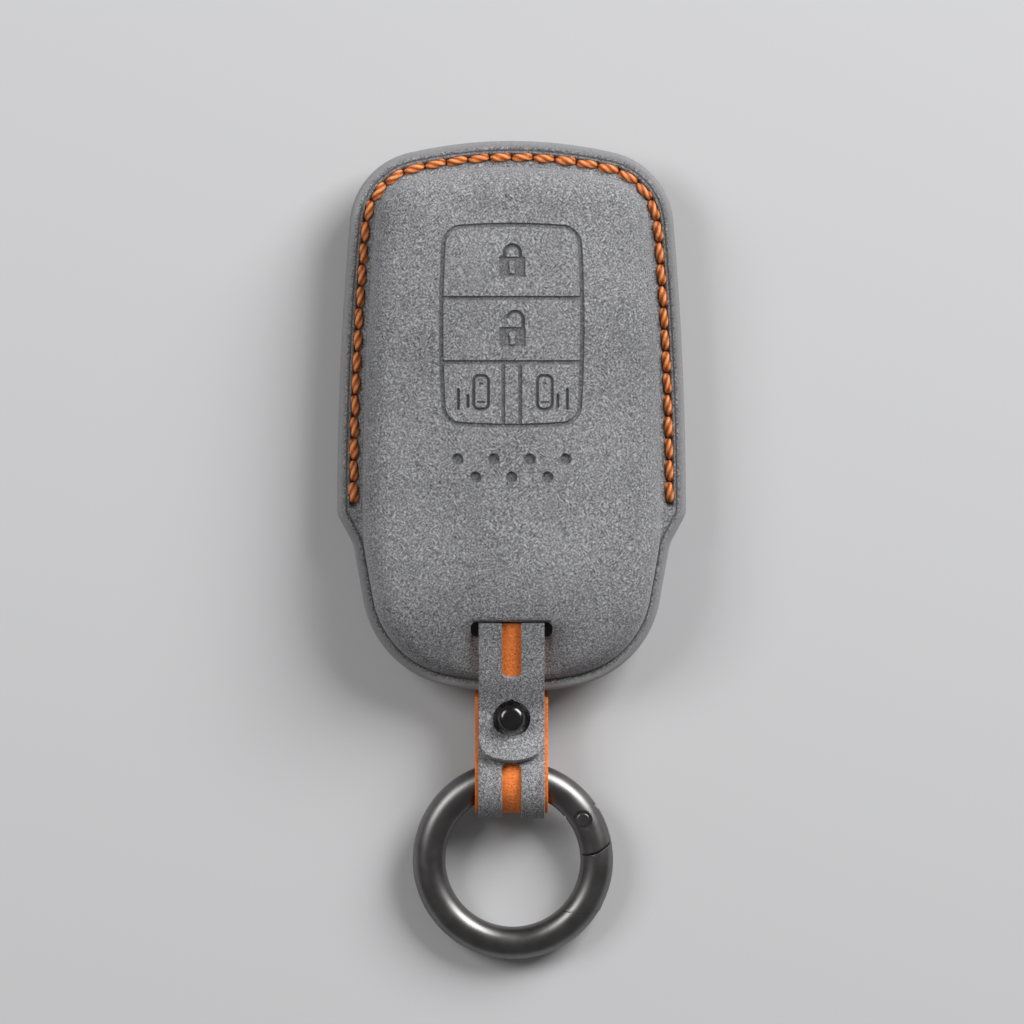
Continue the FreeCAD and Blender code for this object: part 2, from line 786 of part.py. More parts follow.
tongue_space = gate_side.common(about_hinge(cheek_radius + cheek_gap + overrun))
tongue_space = tongue_space.fuse(about_hinge(tail_radius))
tongue = torus.common(tongue_space).common(flat_slab(tongue_width / 2))
heel = Part.makeCylinder(ring_reach, overrun, hinge.add(V(spring_way).multiply(tail_flat)), spring_way)
ring_gate = torus.common(gate_side.common(about_hinge(gate_reach)))
ring_gate = ring_gate.cut(about_hinge(cheek_radius + cheek_gap))
ring_gate = ring_gate.fuse(tongue.cut(heel)).cut(about_hinge(pin_radius + pin_fit)).removeSplitter()

gate_pin = about_hinge(pin_radius, pin_half_length)
gate_pin = gate_pin.makeFillet(pin_edge, [e for e in gate_pin.Edges if len(e.Vertexes) == 1])

# spring turns as quarter arcs, then a round wire along them
heel_away = spring_start.sub(hinge).dot(spring_way)
seat = spring_start.sub(V(spring_way).multiply(heel_away - tail_flat - spring_wire_radius * 2))
turn_length = spring_end.sub(seat).Length - spring_wire_radius * 3
spring_side = z_axis.cross(spring_way)


def turn_point(step):
    angle = step * math.pi / 2
    along = turn_length * step / (spring_turns * quarter_turns)
    point = seat.add(V(spring_way).multiply(along))
    point = point.add(V(spring_side).multiply(spring_radius * math.cos(angle)))
    return point.add(V(z_axis).multiply(spring_radius * math.sin(angle)))


arcs = []
for i in range(spring_turns * quarter_turns):
    arcs.append(Part.Arc(turn_point(i), turn_point(i + 1 / 2), turn_point(i + 1)).toShape())
first_way = arcs[0].tangentAt(arcs[0].FirstParameter)
profile = Part.Wire(Part.makeCircle(spring_wire_radius, turn_point(0), first_way))
gate_spring = Part.Wire(arcs).makePipeShell([profile], True, False)

# the ring leans from the strap loop down to the floor at its far end
ring_lean = math.asin((fold_z - wire_radius - ring_floor_gap) / (pivot_radius + ring_radius))
ring_z = fold_z - pivot_radius * math.sin(ring_lean)


def hung(shape):
    moved = shape.copy()
    moved.rotate(origin, x_axis, math.degrees(ring_lean))
    moved.translate(V(ring_x, ring_y, ring_z))
    return moved


nodes["front_shell"] = front_shell
nodes["front_lining"] = front_lining
nodes["back_shell"] = back_shell
nodes["back_lining"] = back_lining
nodes["front_thread"] = to_front(thread)
nodes["back_thread"] = to_back(thread)
nodes["strap_suede"] = strap_suede
nodes["strap_lining"] = strap_lining
nodes["tab_suede"] = tab_suede
nodes["tab_lining"] = tab_lining
nodes["ball_stud"] = ball_stud
nodes["stud_screw"] = stud_screw
nodes["ring_body"] = hung(ring_body)
nodes["ring_gate"] = hung(ring_gate)
nodes["gate_pin"] = hung(gate_pin)
nodes["gate_spring"] = hung(gate_spring)

os.makedirs("parts", exist_ok=True)
for name, shape in nodes.items():
    shape.exportStep("parts/" + name + ".step")
    print(name, shape.isValid(), len(shape.Solids), len(shape.Faces), round(shape.Volume, 2))

hinge_at = hung(Part.Vertex(hinge)).Point
print("stitches", stitch_count)
print("tab hinge", tab_root_y, tab_root_z, strap_thick)
print("ring pivot", ring_x, ring_y + pivot_radius * math.cos(ring_lean), fold_z)
print("gate hinge", hinge_at.x, hinge_at.y, hinge_at.z, "lean", math.degrees(ring_lean))
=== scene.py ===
import bpy
import bmesh
import math
import random
import numpy as np
from mathutils import Matrix, Vector


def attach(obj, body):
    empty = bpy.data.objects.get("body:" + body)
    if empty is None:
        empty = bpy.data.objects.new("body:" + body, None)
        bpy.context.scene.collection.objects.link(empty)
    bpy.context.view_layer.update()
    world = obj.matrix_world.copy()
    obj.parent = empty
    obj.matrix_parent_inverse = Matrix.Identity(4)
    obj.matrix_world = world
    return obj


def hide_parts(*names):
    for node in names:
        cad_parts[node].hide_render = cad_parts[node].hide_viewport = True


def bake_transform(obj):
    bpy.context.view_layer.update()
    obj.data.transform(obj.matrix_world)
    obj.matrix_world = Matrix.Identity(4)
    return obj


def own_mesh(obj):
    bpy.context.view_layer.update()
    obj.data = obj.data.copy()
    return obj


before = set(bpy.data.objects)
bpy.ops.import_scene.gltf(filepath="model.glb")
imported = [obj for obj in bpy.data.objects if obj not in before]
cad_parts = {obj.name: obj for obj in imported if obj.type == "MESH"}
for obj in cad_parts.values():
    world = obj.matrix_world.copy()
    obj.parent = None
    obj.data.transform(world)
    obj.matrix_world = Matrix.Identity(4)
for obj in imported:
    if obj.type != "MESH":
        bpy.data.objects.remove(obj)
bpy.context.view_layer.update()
mm = 0.001
print("frame loaded:", len(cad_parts), "nodes")


# lines and outlines, all in millimetres until a mesh is finished

leastSteps, stepsPerRadian, farAway = 8, 24, 99.0


def roundedLine(corners, radii, closed=False):
    # straight runs with a tangent arc at each corner
    points = []
    count = len(corners)
    for i in range(count):
        here = Vector((*corners[i], 0))
        if radii[i] == 0:
            points.append(here)
            continue
        back = (Vector((*corners[i - 1], 0)) - here).normalized()
        ahead = (Vector((*corners[(i + 1) % count], 0)) - here).normalized()
        half = back.angle(ahead) / 2
        centre = here + (back + ahead).normalized() * (radii[i] / math.sin(half))
        start = here + back * (radii[i] / math.tan(half)) - centre
        end = here + ahead * (radii[i] / math.tan(half)) - centre
        steps = max(leastSteps, int(start.angle(end) * stepsPerRadian))
        start.normalize()
        end.normalize()
        points += [centre + start.slerp(end, k / steps) * radii[i] for k in range(steps + 1)]
    if closed:
        points.append(points[0])
    return np.array([p[:2] for p in points])


def runLength(line):
    return np.r_[0, np.cumsum(np.linalg.norm(np.diff(line, axis=0), axis=1))]


def pairAt(stops, run, pairs):
    return np.stack([np.interp(stops, run, pairs[:, 0]), np.interp(stops, run, pairs[:, 1])], 1)


def alongLine(line, stops):
    return pairAt(stops, runLength(line), line)


def evenLine(line, step):
    total = runLength(line)[-1]
    return alongLine(line, np.linspace(0, total, int(total / step) + 1))


def rightSide(line):
    # unit vector to the right of the line at every point
    way = np.gradient(line, axis=0)
    way /= np.linalg.norm(way, axis=1, keepdims=True)
    return np.stack([way[:, 1], -way[:, 0]], 1)


def nearestDistance(points, line, batch=2000):
    result = np.empty(len(points))
    for i in range(0, len(points), batch):
        gap = points[i:i + batch, None, :] - line[None, :, :]
        result[i:i + batch] = np.sqrt((gap ** 2).sum(2).min(1))
    return result


def smoothStep(low, high, value):
    t = np.clip((value - low) / (high - low), 0, 1)
    return t * t * (3 - 2 * t)


def boxDistance(x, y, halfX, halfY, radius):
    gapX = np.abs(x) - halfX + radius
    gapY = np.abs(y) - halfY + radius
    outside = np.sqrt(np.maximum(gapX, 0) ** 2 + np.maximum(gapY, 0) ** 2)
    return outside + np.minimum(np.maximum(gapX, gapY), 0) - radius


def barDistance(x, y, x0, y0, x1, y1):
    wayX, wayY = x1 - x0, y1 - y0
    share = np.clip(((x - x0) * wayX + (y - y0) * wayY) / (wayX ** 2 + wayY ** 2), 0, 1)
    return np.hypot(x - x0 - share * wayX, y - y0 - share * wayY)


def arcDistance(x, y, centreX, centreY, radius, fromDeg, toDeg):
    angle = np.degrees(np.arctan2(y - centreY, x - centreX)) % 360
    inside = (angle >= fromDeg) & (angle <= toDeg)
    rim = np.abs(np.hypot(x - centreX, y - centreY) - radius)
    ends = np.full_like(x, farAway)
    for deg in (fromDeg, toDeg):
        endX = centreX + radius * math.cos(math.radians(deg))
        endY = centreY + radius * math.sin(math.radians(deg))
        ends = np.minimum(ends, np.hypot(x - endX, y - endY))
    return np.where(inside, rim, ends)


# meshes

def vertArray(bm):
    return np.array([v.co for v in bm.verts], float)


def vertsIn(geom):
    return [g for g in geom if isinstance(g, bmesh.types.BMVert)]


def openEdgesIn(geom):
    return [g for g in geom if isinstance(g, bmesh.types.BMEdge) and g.is_boundary]


def linkedObject(name, bm):
    # millimetres to metres, then an object at the origin
    bmesh.ops.scale(bm, vec=(mm, mm, mm), verts=bm.verts)
    mesh = bpy.data.meshes.new(name)
    bm.to_mesh(mesh)
    bm.free()
    made = bpy.data.objects.new(name, mesh)
    bpy.context.scene.collection.objects.link(made)
    return made


def finishPiece(name, bm, slot, sharpDeg):
    piece = linkedObject(name, bm)
    mesh = piece.data
    mesh.polygons.foreach_set("use_smooth", [True] * len(mesh.polygons))
    mesh.set_sharp_from_angle(angle=math.radians(sharpDeg))
    mesh.materials.append(finishes[slot])
    return piece


def addAttribute(piece, name, values):
    attribute = piece.data.attributes.new(name, "FLOAT", "POINT")
    attribute.data.foreach_set("value", np.asarray(values, np.float32))


def pieceArray(piece):
    flat = np.empty(len(piece.data.vertices) * 3, np.float32)
    piece.data.vertices.foreach_get("co", flat)
    return flat.reshape(-1, 3).astype(float) / mm


def faceOutwards(bm):
    bmesh.ops.recalc_face_normals(bm, faces=bm.faces)
    if bm.calc_volume(signed=True) < 0:
        bmesh.ops.reverse_faces(bm, faces=bm.faces)


def extrudedOutline(line, low, high):
    # closed outline (last point repeats the first) as a solid block
    bm = bmesh.new()
    face = bm.faces.new([bm.verts.new((x, y, low)) for x, y in line[:-1]])
    raised = bmesh.ops.extrude_face_region(bm, geom=[face])
    bmesh.ops.translate(bm, vec=(0, 0, high - low), verts=vertsIn(raised["geom"]))
    faceOutwards(bm)
    return bm


def carve(piece, bm):
    # cuts the block in bm out of a piece, then drops the block
    tool = linkedObject("tool", bm)
    cut = piece.modifiers.new("carve", "BOOLEAN")
    cut.object = tool
    cut.operation = "DIFFERENCE"
    cut.solver = "MANIFOLD"
    bpy.context.view_layer.update()
    ready = piece.evaluated_get(bpy.context.evaluated_depsgraph_get())
    result = bpy.data.meshes.new_from_object(ready)
    piece.modifiers.clear()
    piece.data = result
    bpy.data.objects.remove(tool)


# finishes

def newFinish(name):
    finish = bpy.data.materials.new(name)
    finish.use_nodes = True
    return finish, finish.node_tree.nodes["Principled BSDF"]


def setInputs(finish, node, inputs):
    for key, value in inputs.items():
        if isinstance(value, bpy.types.NodeSocket):
            finish.node_tree.links.new(value, node.inputs[key])
        else:
            node.inputs[key].default_value = value


def addNode(finish, kind, inputs, **settings):
    node = finish.node_tree.nodes.new(kind)
    for key, value in settings.items():
        setattr(node, key, value)
    setInputs(finish, node, inputs)
    return node


def objectCoords(finish):
    return addNode(finish, "ShaderNodeTexCoord", {}).outputs["Object"]


def attributeValue(finish, name):
    return addNode(finish, "ShaderNodeAttribute", {}, attribute_name=name).outputs["Fac"]


def noise(finish, coords, scale, detail, roughness=0.5):
    return addNode(finish, "ShaderNodeTexNoise", {
        "Vector": coords, "Scale": scale, "Detail": detail, "Roughness": roughness,
    }).outputs["Fac"]


def spread(finish, value, low, high, fromLow=0.0, fromHigh=1.0):
    return addNode(finish, "ShaderNodeMapRange", {
        "Value": value, "From Min": fromLow, "From Max": fromHigh, "To Min": low, "To Max": high,
    }).outputs[0]


def ramp(finish, factor, tones):
    node = addNode(finish, "ShaderNodeValToRGB", {"Fac": factor})
    elements = node.color_ramp.elements
    for element, (position, colour) in zip(elements, (tones[0], tones[-1])):
        element.position = position
        element.color = (*colour, 1)
    for position, colour in tones[1:-1]:
        elements.new(position).color = (*colour, 1)
    return node.outputs["Color"]


def tone(finish, under, over, factor):
    mixInputs = {0: factor, 6: under, 7: (*over, 1)}
    return addNode(finish, "ShaderNodeMix", mixInputs, data_type="RGBA").outputs[2]


def level(finish, operation, a, b):
    return addNode(finish, "ShaderNodeMath", {0: a, 1: b}, operation=operation).outputs[0]


def weighted(finish, a, b, shareA, shareB):
    parts = (level(finish, "MULTIPLY", a, shareA), level(finish, "MULTIPLY", b, shareB))
    return level(finish, "ADD", *parts)


shaderSockets = {"rough": "Roughness", "shine": "Specular IOR Level", "sheen": "Sheen Weight",
                 "sheenRough": "Sheen Roughness", "metallic": "Metallic"}


def dress(finish, shader, look, colour, height):
    # colour, bump and what the look says of shine and sheen
    bump = {"Strength": look["bump"], "Distance": look["bumpDepth"], "Height": height}
    normal = addNode(finish, "ShaderNodeBump", bump).outputs[0]
    setInputs(finish, shader, {"Base Color": colour, "Normal": normal})
    setInputs(finish, shader, {socket: look[key] for key, socket in shaderSockets.items() if key in look})
    return finish


def brushedNap(finish, coords, look):
    # short fibres brushed two ways in patches
    wide, thin = look["streakWidth"], 0.7
    streaks = []
    for turnDeg in (48, -42):
        turned = addNode(finish, "ShaderNodeVectorRotate", {
            "Vector": coords, "Angle": math.radians(turnDeg),
        }).outputs[0]
        drawn = addNode(finish, "ShaderNodeMapping", {
            "Vector": turned, "Scale": (1 / look["streakLength"], 1 / wide, thin / wide),
        }).outputs[0]
        streaks.append(noise(finish, drawn, scale=1.0, detail=2.0, roughness=0.6))
    patch = noise(finish, coords, look["patchScale"], detail=1.0)
    side = spread(finish, patch, 0.0, 1.0, fromLow=0.42, fromHigh=0.58)
    return addNode(finish, "ShaderNodeMix", {0: side, 2: streaks[0], 3: streaks[1]}).outputs[0]


suede = {"tones": [(0.36, (0.05, 0.05, 0.052)), (0.5, (0.215, 0.215, 0.222)), (0.64, (0.56, 0.56, 0.57))],
         "pressedAndShade": (0.045, 0.045, 0.048), "paint": (0.27, 0.27, 0.276), "broadShare": 0.09,
         "patchScale": 900.0, "streakLength": 0.00042, "streakWidth": 0.00014,
         "bumps": (0.5, 0.08), "bumpDepth": 0.00016, "roughs": (0.95, 0.55),
         "sheen": 0.18, "sheenRough": 0.45, "shine": 0.18}


def suedeFinish():
    finish, shader = newFinish("brushedSuede")
    coords = objectCoords(finish)
    fibres = brushedNap(finish, coords, suede)
    fuzz = noise(finish, coords, scale=5200.0, detail=2.0, roughness=0.7)
    broad = noise(finish, coords, scale=60.0, detail=3.0)
    height = weighted(finish, fibres, fuzz, shareA=0.7, shareB=0.3)
    cloudy = level(finish, "MULTIPLY", level(finish, "SUBTRACT", broad, 0.5), suede["broadShare"])
    colour = ramp(finish, level(finish, "ADD", height, cloudy), suede["tones"])
    # darker where lines, signs, seam and stitch holes lie: partly pressed nap, partly painted shade
    for kind, most in (("pressedAndShade", 0.9), ("paint", 0.85)):
        amount = attributeValue(finish, kind)
        colour = tone(finish, colour, suede[kind], level(finish, "MULTIPLY", amount, most))
    # smoother where it is painted
    painted = {key: spread(finish, amount, *suede[key + "s"]) for key in ("bump", "rough")}
    return dress(finish, shader, {**suede, **painted}, colour, height)


strapLeather = {"tones": [(0.25, (0.42, 0.095, 0.018)), (0.52, (0.9, 0.215, 0.044)),
                          (0.8, (0.97, 0.34, 0.09))],
                "patchScale": 520.0, "streakLength": 0.0006, "streakWidth": 0.0002,
                "bump": 0.45, "bumpDepth": 0.00014, "rough": 0.82, "shine": 0.25, "sheen": 0.1}


def strapLeatherFinish():
    finish, shader = newFinish("dyedStrapLeather")
    look, coords = strapLeather, objectCoords(finish)
    cells = addNode(finish, "ShaderNodeTexVoronoi", {"Vector": coords, "Scale": 3400.0})
    fibres, grain = brushedNap(finish, coords, look), cells.outputs["Distance"]
    height = weighted(finish, fibres, grain, shareA=0.65, shareB=0.45)
    return dress(finish, shader, look, ramp(finish, height, look["tones"]), height)


pocketLining = {"tones": [(0.3, (0.03, 0.03, 0.033)), (0.7, (0.075, 0.075, 0.08))],
                "bump": 0.3, "bumpDepth": 0.0001, "rough": 0.9}


def pocketLiningFinish():
    finish, shader = newFinish("pocketMicrofibre")
    fuzz = noise(finish, objectCoords(finish), scale=3000.0, detail=3.0)
    return dress(finish, shader, pocketLining, ramp(finish, fuzz, pocketLining["tones"]), fuzz)


thread = {"tones": [(0.22, (0.2, 0.04, 0.01)), (0.5, (0.68, 0.16, 0.03)), (0.82, (0.95, 0.42, 0.15))],
          "bump": 0.4, "bumpDepth": 0.00008, "rough": 0.5, "shine": 0.4}


def threadFinish():
    finish, shader = newFinish("waxedThread")
    fibre = noise(finish, objectCoords(finish), scale=2600.0, detail=4.0, roughness=0.65)
    # strand crests lighter and valleys darker: painted highlight and shade
    shade = weighted(finish, fibre, attributeValue(finish, "strandShade"), shareA=0.55, shareB=0.5)
    return dress(finish, shader, thread, ramp(finish, shade, thread["tones"]), fibre)


def metalFinish(name, dark, light, roughLow, roughHigh, scale):
    finish, shader = newFinish(name)
    coords, low, high, grainTimes = objectCoords(finish), 0.3, 0.7, 40
    cloud = noise(finish, coords, scale, detail=4.0)
    grain = noise(finish, coords, scale * grainTimes, detail=2.0)
    look = {"rough": spread(finish, cloud, roughLow, roughHigh, low, high), "metallic": 1.0,
            "bump": 0.04, "bumpDepth": 0.00003}
    return dress(finish, shader, look, ramp(finish, cloud, [(low, dark), (high, light)]), grain)


finishes = {
    "suede": suedeFinish(),
    "strap_lining": strapLeatherFinish(),
    "pocket_lining": pocketLiningFinish(),
    "thread": threadFinish(),
    "gunmetal": metalFinish("satinGunmetal", (0.155, 0.149, 0.147), (0.21, 0.203, 0.201), 0.32, 0.39, 260.0),
    "black_nickel": metalFinish("blackNickel", (0.07, 0.07, 0.073), (0.105, 0.105, 0.11), 0.15, 0.21, 400.0),
    "spring_steel": metalFinish("springWire", (0.4, 0.4, 0.41), (0.55, 0.55, 0.56), 0.22, 0.32, 600.0),
}
print("finishes made")


# moulded halves: an outer ply and a lining each, built from the crown outwards

cover = {"seamZ": 6.5, "shellThick": 1.1, "liningThick": 0.5, "plyGap": 0.02,
         "footRadius": 0.6, "edgeRadius": 0.7, "flangeWidth": 4.0, "mouthY": -15.0,
         "creaseInset": 1.45, "creaseDepth": 0.14,
         "edgeCorners": [(0, -42.02), (20.24, -37.95), (23.6, -18.95), (26, -14.5),
                         (25.95, 7.3), (23.43, 37.47), (0, 42.81)],
         "edgeRadii": [47.0, 15.6, 5.0, 2.4, 500.0, 11.5, 67.4],
         "footCorners": [(0, -40.49), (18.96, -36.61), (22.15, -18.5),
                         (22.1, 7.3), (19.88, 34.23), (0, 38.76)],
         "footRadii": [45.5, 14.1, 20.0, 496.0, 6.6, 64.5],
         "shellGrid": (86, 160), "liningGrid": (44, 84), "sharpDeg": 40,
         "crownInset": 5.2, "slotHalf": 6.1, "slotTop": -30.6, "slotCorner": 0.9, "slotSpan": (1.2, 13)}
pockets = {"front": {"side": 1, "height": 10.0, "crown": 160.0, "toeStart": -20.0,
                     "toeRadius": 30.0, "shoulder": 4.5, "slotReach": 2.2},
           "back": {"side": -1, "height": 6.5, "crown": 0, "toeStart": -24.0,
                    "toeRadius": 32.0, "shoulder": 3.3, "slotReach": 3.0}}
seam = {"inset": 2.45, "endY": -13.0, "stitches": 42, "lift": 0.12, "radius": 0.57,
        "grooveDepth": 0.42, "holeDepth": 0.3}
tabRun = {"corners": [(-54.4, 11.319), (-47.573, 7.39), (-43.4, 7.39), (-38.6, 10.0), (-29.8, 12.859)],
          "radii": [0, 2.4, 4.2, 9.0, 0], "rootY": -30.75}


def wholeOutline(corners, radii, step):
    # the right half and its mirror image as one closed line
    mirrored = [(-x, y) for x, y in corners[-2:0:-1]]
    return evenLine(roundedLine(corners + mirrored, radii + radii[-2:0:-1], True), step)


edgeLine = wholeOutline(cover["edgeCorners"], cover["edgeRadii"], step=0.12)
footLine = wholeOutline(cover["footCorners"], cover["footRadii"], step=0.05)
seamLine = edgeLine - rightSide(edgeLine) * seam["inset"]
seamLine = seamLine[seamLine[:, 1] > seam["endY"]]
seamHoles = alongLine(seamLine, np.linspace(0, runLength(seamLine)[-1], seam["stitches"] + 1))
tabLine = roundedLine(tabRun["corners"], tabRun["radii"])


def edgeReach(foot, normal):
    # distance out to the sewn edge along each normal
    tiny, slack, least = 1e-9, 1e-6, 1.48
    first, span = edgeLine[:-1], np.diff(edgeLine, axis=0)
    reach = np.empty(len(foot))
    for i, (p, n) in enumerate(zip(foot, normal)):
        gap = first - p
        turn = n[0] * span[:, 1] - n[1] * span[:, 0]
        turn = np.where(np.abs(turn) < tiny, tiny, turn)
        t = (gap[:, 0] * span[:, 1] - gap[:, 1] * span[:, 0]) / turn
        u = (gap[:, 0] * n[1] - gap[:, 1] * n[0]) / turn
        hit = (u >= -slack) & (u <= 1 + slack) & (t > 0)
        reach[i] = t[hit].min()
    return np.maximum(reach, least)


def columns(across, along):
    # points round the pocket's foot, evenly spread on each of its four sides
    out = rightSide(footLine)
    angle = np.degrees(np.arctan2(out[:, 1], out[:, 0]))
    run = runLength(footLine)
    half = len(run) // 2
    toe, top = (run[:half][np.argmax(angle[:half] > turnDeg)] for turnDeg in (-45, 45))
    total = run[-1]
    sides = ((0, toe, across // 2), (toe, top, along), (top, total - top, across),
             (total - top, total - toe, along), (total - toe, total, across // 2))
    stops = np.concatenate([np.linspace(*side, endpoint=False) for side in sides])
    foot = alongLine(footLine, stops)
    normal = pairAt(stops, run, out)
    normal /= np.linalg.norm(normal, axis=1, keepdims=True)
    return foot, normal, edgeReach(foot, normal)


def crownHeight(pocket, x, y):
    bend, steepest, widest = pocket["toeRadius"], 0.97, 30
    toe = np.clip(pocket["toeStart"] - y, 0, bend * steepest)
    height = pocket["height"] - bend + np.sqrt(bend ** 2 - toe ** 2)
    if pocket["crown"]:
        aside = np.clip(x, -widest, widest)
        height = height - pocket["crown"] + np.sqrt(pocket["crown"] ** 2 - aside ** 2)
    return height


def shoulderRings(pocket, depth, low, foot, normal, count):
    # from the crown over the rolled shoulder and down the wall to height low
    probe, steepest = 0.8, 0.98
    radius = pocket["shoulder"] - depth
    base = foot - normal * depth
    rise = crownHeight(pocket, *(base - normal * probe).T) - crownHeight(pocket, *base.T)
    slope = np.arctan2(np.maximum(rise, 0), probe)
    touch = base - normal * (radius * (1 - np.sin(slope)))[:, None]
    middle = crownHeight(pocket, *touch.T) - depth - radius * np.cos(slope)
    last = np.pi / 2 - slope
    first = np.arcsin(np.clip((low - middle) / radius, 0, steepest))
    rolled = radius * (last - first)
    wall = np.maximum(middle - low, 0)
    rings = []
    for k in range(count + 1):
        run = (rolled + wall) * k / count
        turn = np.maximum(last - run / radius, first)
        inset = radius - radius * np.cos(turn)
        z = middle + radius * np.sin(turn) - np.maximum(run - rolled, 0)
        rings.append((base - normal * inset[:, None], z))
    return rings, radius - radius * np.cos(first)


bed = {"clear": 0.15, "backRoot": (-32.25, 1.75), "backToe": (-43.4, 5.75),
       "flatHalf": 5.2, "endHalf": 8.6, "toeEnd": -43.4, "toeFull": -42.0}


def bedDepth(pocket, x, y, z, depth):
    # the strap's bed pressed into the toe
    if pocket["side"] < 0:
        (rootY, rootZ), (toeY, toeZ) = bed["backRoot"], bed["backToe"]
        slope = (toeZ - rootZ) / (rootY - toeY)
        under = cover["seamZ"] - (rootZ - (y - rootY) * slope)
    else:
        under = np.interp(y, tabLine[:, 0], tabLine[:, 1]) - cover["seamZ"]
    floor = under - bed["clear"] - depth
    aside, half, top = np.abs(x), cover["slotHalf"], cover["slotTop"]
    # fades out at the slot, more slowly at its ends
    least, more, inside, past, over = 0.2, 3.2, 0.8, 0.3, 0.05
    fade = least + more * smoothStep(half - inside, half + past, aside)
    within = 1 - smoothStep(bed["flatHalf"], bed["endHalf"], aside)
    within = within * (1 - smoothStep(top - fade, top + over, y))
    within = within * smoothStep(bed["toeEnd"], bed["toeFull"], y)
    return within * np.maximum(z - floor, 0)


panel = {"halfX": 10.0, "top": 27.95, "bottom": -0.95, "bow": 0.5, "corner": 2.3,
         "dividers": (17.55, 8.0), "dividerHalf": 10.2, "stripX": 1.25, "stripEnd": -1.3, "dimplePitch": 5.36,
         "lineHalf": 0.29, "lineDepth": 0.32, "signDepth": 0.28, "soft": 0.09, "paintedWallShade": 2.8}


def pressedShapes(x, y):
    # (distance, half width, depth, softness, darkness) of each pressed line, sign and dimple; the darkness is
    # partly pressed nap and partly painted shade in the hollow
    shapes = []

    def press(gap, half, dark, depth=panel["signDepth"], soft=panel["soft"]):
        shapes.append((gap, half, depth, soft, dark))

    def pressLine(gap, share=1):
        press(gap, panel["lineHalf"] * share, dark=0.5, depth=panel["lineDepth"])

    middleY = (panel["top"] + panel["bottom"]) / 2
    halfY = (panel["top"] - panel["bottom"]) / 2
    bowX = panel["halfX"] + panel["bow"] * (1 - np.clip((y - middleY) / halfY, -1, 1) ** 2)
    bowY = halfY + panel["bow"] * (1 - np.clip(x / panel["halfX"], -1, 1) ** 2)
    pressLine(np.abs(boxDistance(x, y - middleY, bowX, bowY, panel["corner"])))
    reach = panel["dividerHalf"]
    for lineY in panel["dividers"]:
        pressLine(barDistance(x, y, -reach, lineY, reach, lineY))
    for stripX in (-panel["stripX"], panel["stripX"]):
        pressLine(barDistance(x, y, stripX, panel["dividers"][1], stripX, panel["stripEnd"]), share=0.85)
    # closed and open padlock
    keyDrop, eye, stem, bend = 1.05, 0.52, 0.75, 1.19
    for bodyX, top, low, hookX, hookY, hookDeg in (
        (0.07, 23.7, 20.75, 0.09, 24.25, 180), (0.12, 13.2, 10.3, 0.52, 14.35, 158),
    ):
        body = boxDistance(x - bodyX, y - (top + low) / 2, halfX=1.92, halfY=(top - low) / 2, radius=0.2)
        keyX, keyY = x - bodyX, y - (top - keyDrop)
        slit = boxDistance(keyX, keyY + stem, halfX=0.38, halfY=stem, radius=0.1)
        keyhole = np.minimum(np.hypot(keyX, keyY) - eye, slit)
        press(np.maximum(body, -keyhole), half=0.0, dark=0.54)
        bow = arcDistance(x, y, hookX, hookY, bend, 0, hookDeg)
        for side in ((1, -1) if hookDeg == 180 else (1,)):
            legX = hookX + side * bend
            bow = np.minimum(bow, barDistance(x, y, legX, hookY, legX, top))
        press(bow, half=0.24, dark=0.85)
    # vehicle seen from above with its opening doors
    signY, frontY, flat, rearY, reach = 3.53, 4.85, 0.6, 2.1, 0.5
    for side, signX in ((-1, -4.56), (1, 4.92)):
        outline = boxDistance(x - signX, y - signY, halfX=1.1, halfY=2.5, radius=0.85)
        press(np.abs(outline), half=0.2, dark=0.9)
        press(np.hypot((x - signX) * flat, y - frontY), half=0.18, dark=0.9, depth=0.14)
        rear = barDistance(x, y, signX - reach, rearY, signX + reach, rearY)
        press(rear, half=0.13, dark=0.9, depth=0.14)
        for away, top, low in ((1.95, 3.05, 1.45), (3.36, 3.95, 1.15)):
            barX = signX + side * away
            press(barDistance(x, y, barX, top, barX, low), half=0.2, dark=0.95)
    for rowY, count in ((-6.4, 4), (-9.1, 3)):
        for i in range(count):
            gap = np.hypot(x - (i - (count - 1) / 2) * panel["dimplePitch"], y - rowY)
            press(gap, half=0.8, dark=0.54, depth=0.48, soft=0.11)
    return shapes


def pressDepth(x, y):
    depth = np.zeros_like(x)
    dark = np.zeros_like(x)
    for gap, half, deep, soft, shade in pressedShapes(x, y):
        share = 1 - smoothStep(half - soft, half + soft, gap)
        depth = np.maximum(depth, share * deep)
        # the walls of each groove and dimple darkened: painted shade
        dark = np.maximum(dark, np.maximum(share * shade, panel["paintedWallShade"] * share * (1 - share)))
    return depth, dark


def nearPress(x, y, margin):
    near = np.zeros(len(x), bool)
    for gap, half, *rest in pressedShapes(x, y):
        near |= np.abs(gap - half) < margin
    return near


def nearHole(x, y, margin):
    return nearestDistance(np.stack([x, y], 1), seamHoles) < margin


def seamShares(x, y, creaseHalf, grooveHalf, holeHalf):
    # distance from the edge, then the share of crease, groove and hole at each point
    points = np.stack([x, y], 1)
    inset, along, holes = (nearestDistance(points, line) for line in (edgeLine, seamLine, seamHoles))
    crease = np.exp(-((inset - cover["creaseInset"]) / creaseHalf) ** 2)
    return inset, crease, np.exp(-(along / grooveHalf) ** 4), np.exp(-(holes / holeHalf) ** 2)


def flangeDip(x, y):
    inset, crease, groove, hole = seamShares(x, y, creaseHalf=0.16, grooveHalf=0.55, holeHalf=0.42)
    return cover["creaseDepth"] * crease + seam["grooveDepth"] * groove + seam["holeDepth"] * hole


zones = {"crown": 1.0, "shoulder": 2.0, "flange": 3.0, "edge": 4.0, "inside": 5.0}
zoneSlack = 0.01


